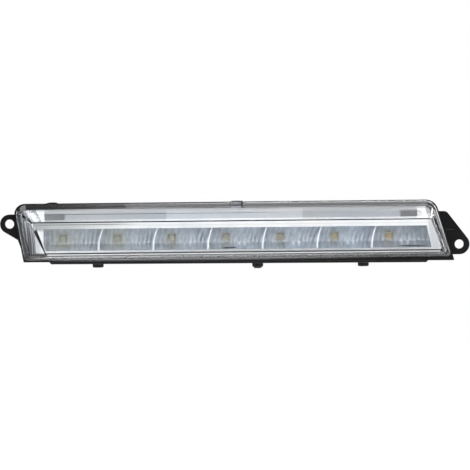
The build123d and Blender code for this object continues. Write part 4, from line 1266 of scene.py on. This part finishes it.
@dataclass
class Reflector:
    """Strip of seven fluted cells with leaning dividers and a window for each LED."""

    outline: Outline = Outline.of([(-142.34, 7.03), (139.71, 7.03), (145.39, -11.1), (-137.85, -11.1)], 1.2)
    cells: int = 7
    row_left: float = -136.25
    row_right: float = 137.21
    top: float = 5.13
    bottom: float = -10.4
    apex: float = -5.4
    cell_depth: float = 13.1
    roof_depth: float = 10.1
    sill_depth: float = 9.1
    curve: float = 2.2
    ease: float = 0.8
    lean: float = 3.2
    divider: float = 1.3
    taper: float = 0.45
    end_spread: float = 3.4
    flutes: int = 13
    flutes_apart: int = 3
    flute_depth: float = 0.45
    flute_steps: int = 10
    roof_steps: int = 38
    sill_steps: int = 24
    tube_arc: int = 2
    tube_steps: int = 14
    lip: float = 1.0
    led_clearance: float = 0.15
    sharp: float = 0.02
    rounding: float = 0.3

    def __post_init__(self) -> None:
        """Takes depths and LED windows from the frame."""
        self.front = front_depth("reflector")
        self.back = back_depth("reflector")
        boxes = [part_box(f"led_{number + 1}") for number in range(self.cells)]
        low = np.array([[box[0].x, box[0].z] for box in boxes]) / MM - self.led_clearance
        high = np.array([[box[1].x, box[1].z] for box in boxes]) / MM + self.led_clearance
        self.windows = np.concatenate([low, high], axis=1)

    def wall_depth(self, height: np.ndarray) -> np.ndarray:
        """Depth of the back wall without its flutes.

        Above the apex it comes forward with the height's share to the power of the curve, and
        below the apex in a slope to the sill that starts gently, as a hyperbola does.

        Args:
            height: Heights.

        Returns:
            A depth for each height.
        """
        up = np.clip((height - self.apex) / (self.top - self.apex), 0, 1)
        down = np.clip((self.apex - height) / (self.apex - self.bottom), 0, 1)
        eased = (np.hypot(down, self.ease) - self.ease) / (math.hypot(1, self.ease) - self.ease)
        return self.front - self.cell_depth + self.roof_depth * up**self.curve + self.sill_depth * eased

    def sides(self, cell: int, height: np.ndarray) -> tuple[np.ndarray, np.ndarray]:
        """Left and right edge of a cell, which lean with the square of the share of its height.

        Args:
            cell: Number of the cell, from 0.
            height: Heights.

        Returns:
            Places of the left and of the right edge.
        """
        pitch = (self.row_right - self.row_left) / self.cells
        share = (height - self.bottom) / (self.top - self.bottom)
        half = self.divider * (1 - self.taper * share) / 2
        left = self.row_left + cell * pitch + half + self.lean * share**2
        right = left + pitch - 2 * half
        if cell == 0:
            left = np.full_like(height, self.row_left)
        if cell == self.cells - 1:
            right = self.row_right + self.end_spread * (1 - share) + self.divider * share
        return left, right

    def cell(self, cell: int, height: np.ndarray) -> np.ndarray:
        """Grid of a cell: rows at the heights, columns across its flutes, and a rim at the front.

        The wall stands forward by the flute's depth times one less the size of the sine of half
        a turn a flute, so flutes meet in ridges.

        Args:
            cell: Number of the cell, from 0.
            height: Heights of the rows, the first and last of them on the rim.

        Returns:
            Places, depths and flute numbers, each rows by columns.
        """
        left, right = self.sides(cell, height)
        share = np.linspace(0, 1, self.flutes * self.flute_steps + 1)
        flute = share * self.flutes
        ridge = self.flute_depth * (1 - np.abs(np.sin(np.pi * flute)))
        place = left[:, None] + share * (right - left)[:, None]
        depth = self.wall_depth(height)[:, None] + ridge
        depth[[0, -1]] = self.front
        beside = ((0, 0), (1, 1))
        depth = np.pad(depth, beside, constant_values=self.front)
        number = cell * (self.flutes + self.flutes_apart) + np.pad(flute, 1, mode="edge")
        return np.stack([np.pad(place, beside, mode="edge"), depth, np.broadcast_to(number, depth.shape)])

    def build(self) -> Piece:
        """Makes the front sheet with its cells, side walls, back plate and LED tubes, welded into one.

        Returns:
            The reflector.
        """
        roof = np.linspace(self.top, self.apex, self.roof_steps)
        sill = np.linspace(self.apex, self.bottom, self.sill_steps)[1:]
        height = np.concatenate([[self.top], roof, sill, [self.bottom]])
        cells = [self.cell(number, height) for number in range(self.cells)]
        place, depth, number = np.concatenate(cells, axis=2)
        mesher = Mesher()
        self._sheet(mesher, place, depth, np.broadcast_to(height[:, None], place.shape), number)
        self._tubes(mesher)
        self._shell(mesher, place)
        return mesher.finish("reflector_fluted", Crease.FLUTED)

    def _sheet(self, mesher: Mesher, place: np.ndarray, depth: np.ndarray, height: np.ndarray,
               number: np.ndarray) -> None:
        """Adds the front sheet without the faces that lie in an LED window.

        Points nearer to a window's edge than half a step are moved onto it.

        Args:
            mesher: Takes the sheet's points.
            place: Places of the points across.
            depth: Their depths.
            height: Their heights.
            number: Their flute numbers.
        """
        step_x = 0.5 * (self.row_right - self.row_left) / (self.cells * self.flutes * self.flute_steps)
        step_z = 0.5 * (self.top - self.apex) / self.roof_steps
        x, z = place.copy(), height.copy()
        deep = depth < self.front - self.lip
        for low_x, low_z, high_x, high_z in self.windows:
            near_z = deep & (z > low_z - step_z) & (z < high_z + step_z)
            near_x = deep & (x > low_x - step_x) & (x < high_x + step_x)
            for edge in (low_x, high_x):
                x[near_z & (np.abs(x - edge) <= step_x)] = edge
            for edge in (low_z, high_z):
                z[near_x & (np.abs(z - edge) <= step_z)] = edge
        middle_x, middle_z = ((grid[:-1, :-1] + grid[1:, :-1] + grid[1:, 1:] + grid[:-1, 1:]) / 4
                              for grid in (x, z))
        inside = np.zeros(middle_x.shape, bool)
        for low_x, low_z, high_x, high_z in self.windows:
            within_x = (middle_x > low_x) & (middle_x < high_x)
            inside |= within_x & (middle_z > low_z) & (middle_z < high_z)
        mesher.grid(np.stack([x, -depth, z], axis=-1), keep=~inside, across=number)

    def _tubes(self, mesher: Mesher) -> None:
        """Adds the four walls of each LED window, from the back wall's depth down to the board.

        Args:
            mesher: Takes the walls' points.
        """
        for low_x, low_z, high_x, high_z in self.windows:
            window = Outline.box(low_x, high_x, low_z, high_z, self.sharp)
            back = window.loop(self.back, self.tube_arc, self.tube_steps, self.tube_steps)
            front = back.copy()
            front[:, 1] = -self.wall_depth(back[:, 2])
            mesher.grid(np.stack([back, front]), wrap=True)

    def _shell(self, mesher: Mesher, place: np.ndarray) -> None:
        """Adds the front ledge round the cells, the outer walls and the back plate.

        Args:
            mesher: Takes the shell's points.
            place: Places of the sheet's points across.
        """
        ledge = Outline.of([(place[0, 0], self.top), (place[0, -1], self.top),
                            (place[-1, -1], self.bottom), (place[-1, 0], self.bottom)], self.sharp)
        mesher.tube(Skin([
            Station(ledge, self.front),
            Station(self.outline, self.front, self.rounding),
            Station(self.outline, self.back),
        ]).loops(), first=False)

    def dress(self) -> None:
        """Makes the reflector stand for its node."""
        settle(self.build(), FLUTED_MIRROR, Slot.REFLECTOR, "reflector")


@dataclass
class LedRow:
    """The LEDs: a rounded package each, with a raised phosphor in its middle, aged towards the left."""

    count: int = 7
    emitter: float = 0.6
    margin: float = 0.8
    corner: float = 0.4
    package_rounding: float = 0.15
    step_rounding: float = 0.05
    phosphor_rounding: float = 0.25
    phosphor_margin: float = 0.9
    steps: int = 5
    colour_back: float = 0.1
    colour_soft: float = 0.04
    aging: Rise = Rise(ACROSS, 150.0, 0.0)

    def finish(self) -> Finish:
        """Grey package that turns to phosphor a little in front of its step.

        Returns:
            The finish of all LEDs.
        """
        step = self.emitter - self.colour_back - front_depth("led_1")
        raised = Rise(BACK, step + self.colour_soft, step - self.colour_soft)
        patches = (
            Patch("aged package", (0.48, 0.49, 0.46), (self.aging,)),
            Patch("phosphor", (0.42, 0.28, 0.06), (raised,), (
                Patch("aged phosphor", (0.43, 0.415, 0.31), (self.aging,)),
            )),
        )
        return Finish("led_phosphor", (0.58, 0.58, 0.54), (0.68, 0.68, 0.63), 0.3, 0.45,
                      grain_height=0.0, patches=patches)

    def build(self, number: int) -> Piece:
        """Makes one LED inside its node's box: package, step and phosphor in one skin.

        Args:
            number: Number of the LED, from 1.

        Returns:
            The LED.
        """
        node = f"led_{number}"
        low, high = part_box(node)
        left, right, bottom, top = (value / MM for value in (low.x, high.x, low.z, high.z))
        package = Outline.box(left, right, bottom, top, self.corner)
        middle = package.inset(self.margin)
        front = front_depth(node)
        step = front - self.emitter
        mesher = Mesher()
        mesher.tube(Skin([
            Station(package, back_depth(node)),
            Station(package, step, self.package_rounding),
            Station(middle, step, self.step_rounding),
            Station(middle, front, self.phosphor_rounding),
            Station(middle.inset(self.phosphor_margin), front),
        ], self.steps).loops())
        return mesher.finish(f"{node}_package", Crease.SOFT)

    def dress(self) -> None:
        """Makes each LED stand for its node."""
        finish = self.finish()
        for number in range(1, self.count + 1):
            settle(self.build(number), finish, Slot.LED, f"led_{number}")


def dress_nodes() -> None:
    """Gives every carried-over node its finish."""
    for name, finish in NODE_FINISHES.items():
        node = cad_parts[name]
        node.data.materials.clear()
        node.data.materials.append(finish.material())
        LOG.info("%s: %s", name, finish.name)


# Studio


@dataclass(frozen=True)
class SoftBox:
    """A rectangular light of the studio, with sizes and places in metres and power in watts."""

    name: str
    place: Point
    width: float
    height: float
    power: float
    aim: Aim = Aim.LAMP
    colour: Colour = (1.0, 1.0, 1.0)
    mirrored: bool = True

    def build(self) -> None:
        """Makes the area light, which glossy surfaces mirror unless it says otherwise."""
        light = bpy.data.lights.new(self.name, "AREA")
        light.shape = "RECTANGLE"
        light.size, light.size_y = self.width, self.height
        light.energy = self.power
        light.color = self.colour
        lamp = bpy.data.objects.new(self.name, light)
        lamp.visible_glossy = self.mirrored
        lamp.location = self.place
        way = -lamp.location if self.aim is Aim.LAMP else Vector((0.0, 0.0, -1.0))
        lamp.rotation_euler = way.to_track_quat("-Z", "Y").to_euler()
        bpy.context.scene.collection.objects.link(lamp)


SOFT_BOXES = (
    SoftBox("key", (0.85, -1.1, 0.0), 0.9, 0.9, 7.5),
    SoftBox("fill", (-0.58, -1.25, 0.5), 0.4, 0.5, 2.8),
    SoftBox("left", (-1.5, -0.7, 0.1), 0.5, 0.8, 8.5),
    SoftBox("ceiling", (0.0, 0.65, 1.3), 1.2, 0.34, 1.2, Aim.DOWN),
    SoftBox("front_right", (0.15, -1.4, 0.76), 0.6, 0.5, 2.4),
    SoftBox("top", (0.0, 0.24, 1.3), 0.17, 0.3, 0.22, Aim.DOWN, (0.93, 0.96, 1.0)),
    SoftBox("top_left", (-0.25, 0.24, 1.3), 0.026, 0.3, 0.13, Aim.DOWN),
    SoftBox("top_right", (0.258, 0.24, 1.3), 0.06, 0.3, 0.3, Aim.DOWN),
    SoftBox("corner_left", (-0.6, 0.0, 1.15), 0.25, 0.7, 3.6),
    SoftBox("corner_right", (1.0, 0.8, 1.0), 0.5, 0.3, 4.6),
    SoftBox("corner_top", (0.5, 0.45, 1.2), 0.35, 0.3, 1.6),
    SoftBox("back_left", (-0.9, 1.3, 0.6), 0.9, 0.7, 26.0, mirrored=False),
    SoftBox("back_top", (0.4, 1.2, 1.2), 0.8, 0.6, 26.0),
    SoftBox("right", (1.6, -0.4, 0.4), 0.5, 1.0, 5.0),
)


@dataclass
class Studio:
    """White floor and surroundings, soft boxes, and a camera at the photograph's angle, in metres."""

    floor_drop: float = 0.5
    floor_size: float = 12.0
    floor_points: int = 9
    floor_rough: float = 0.9
    floor_glow: float = 0.22
    floor_colour: Colour = (0.9, 0.9, 0.9)
    white: Colour = (1.0, 1.0, 1.0)
    sky: Colour = (0.95, 0.975, 1.0)
    front_light: float = 0.5
    around_light: float = 0.18
    front_ends: Pair = (-0.15, -0.9)
    left_light: float = 0.18
    left_ends: Pair = (-0.65, -0.2)
    elevation: float = 1.5
    distance: float = 1.75
    frame_width: float = 0.3384
    roll: float = 0.62
    clip: Pair = (0.05, 50.0)
    target: Point = (0.0004, -0.0016, -0.0007)

    def floor(self) -> None:
        """Pale floor below the lamp, bright enough to melt into the white surroundings."""
        edge = np.linspace(-self.floor_size / 2, self.floor_size / 2, self.floor_points)
        x, y = np.meshgrid(edge, edge)
        level = CAD_BOX[0].z - self.floor_drop
        mesher = Mesher()
        mesher.grid(np.stack([x, y, np.full_like(x, level)], axis=-1)[::-1] / MM)
        piece = mesher.finish("floor", Crease.SOFT)
        made = bpy.data.materials.new("floor_white")
        made.use_nodes = True
        nodes = Nodes(made.node_tree)
        path = nodes.add("ShaderNodeLightPath")
        glow = nodes.ramp(path.outputs["Is Camera Ray"], 0.0, 1.0, self.floor_glow, 1.0)
        shader = made.node_tree.nodes["Principled BSDF"]
        nodes.put(shader.inputs["Base Color"], self.floor_colour)
        nodes.put(shader.inputs["Roughness"], self.floor_rough)
        nodes.put(shader.inputs["Emission Color"], self.white)
        nodes.put(shader.inputs["Emission Strength"], glow)
        piece.data.materials.append(made)

    def world(self) -> None:
        """Surroundings: white to the camera, and to reflections bright in front and darker at the left."""
        world = bpy.data.worlds.new("studio")
        world.use_nodes = True
        world.node_tree.nodes.clear()
        nodes = Nodes(world.node_tree)
        place = nodes.add("ShaderNodeTexCoord").outputs["Generated"]
        x, y, _ = nodes.add("ShaderNodeSeparateXYZ", Vector=place).outputs
        lobe = nodes.ramp(y, *self.front_ends, self.around_light, self.front_light)
        side = nodes.ramp(x, *self.left_ends, self.left_light, 1.0)
        around = nodes.add("ShaderNodeBackground", Strength=nodes.times(lobe, side), Color=self.sky)
        behind = nodes.add("ShaderNodeBackground", Strength=1.0, Color=self.white)
        seen = nodes.add("ShaderNodeLightPath").outputs["Is Camera Ray"]
        shown = nodes.blend(seen, around.outputs["Background"], behind.outputs["Background"])
        nodes.add("ShaderNodeOutputWorld", Surface=shown)
        bpy.context.scene.world = world

    def camera(self) -> None:
        """Long lens in front of the lamp, a little above it and rolled as the photograph is."""
        data = bpy.data.cameras.new("camera")
        data.lens = data.sensor_width * self.distance / self.frame_width
        data.clip_start, data.clip_end = self.clip
        camera = bpy.data.objects.new("camera", data)
        rise = math.radians(self.elevation)
        back = Vector((0.0, -math.cos(rise), math.sin(rise)))
        camera.location = Vector(self.target) + back * self.distance
        camera.rotation_euler = (-back).to_track_quat("-Z", "Y").to_euler()
        camera.rotation_euler.rotate_axis("Z", -math.radians(self.roll))
        bpy.context.scene.collection.objects.link(camera)
        bpy.context.scene.camera = camera

    def build(self) -> None:
        """Sets up floor, surroundings, lights and camera."""
        self.floor()
        self.world()
        for box in SOFT_BOXES:
            box.build()
        self.camera()
        bpy.context.scene.view_settings.view_transform = "Standard"


def main() -> None:
    """Builds and dresses the lamp, then the studio."""
    logging.basicConfig(level=logging.INFO, format="%(name)s: %(message)s")
    dress_nodes()
    lens = Lens()
    lens.dress()
    Primer(lens).dress()
    Bezel(lens).dress()
    Reflector().dress()
    LedRow().dress()
    Studio().build()


if __name__ == "__main__":
    main()
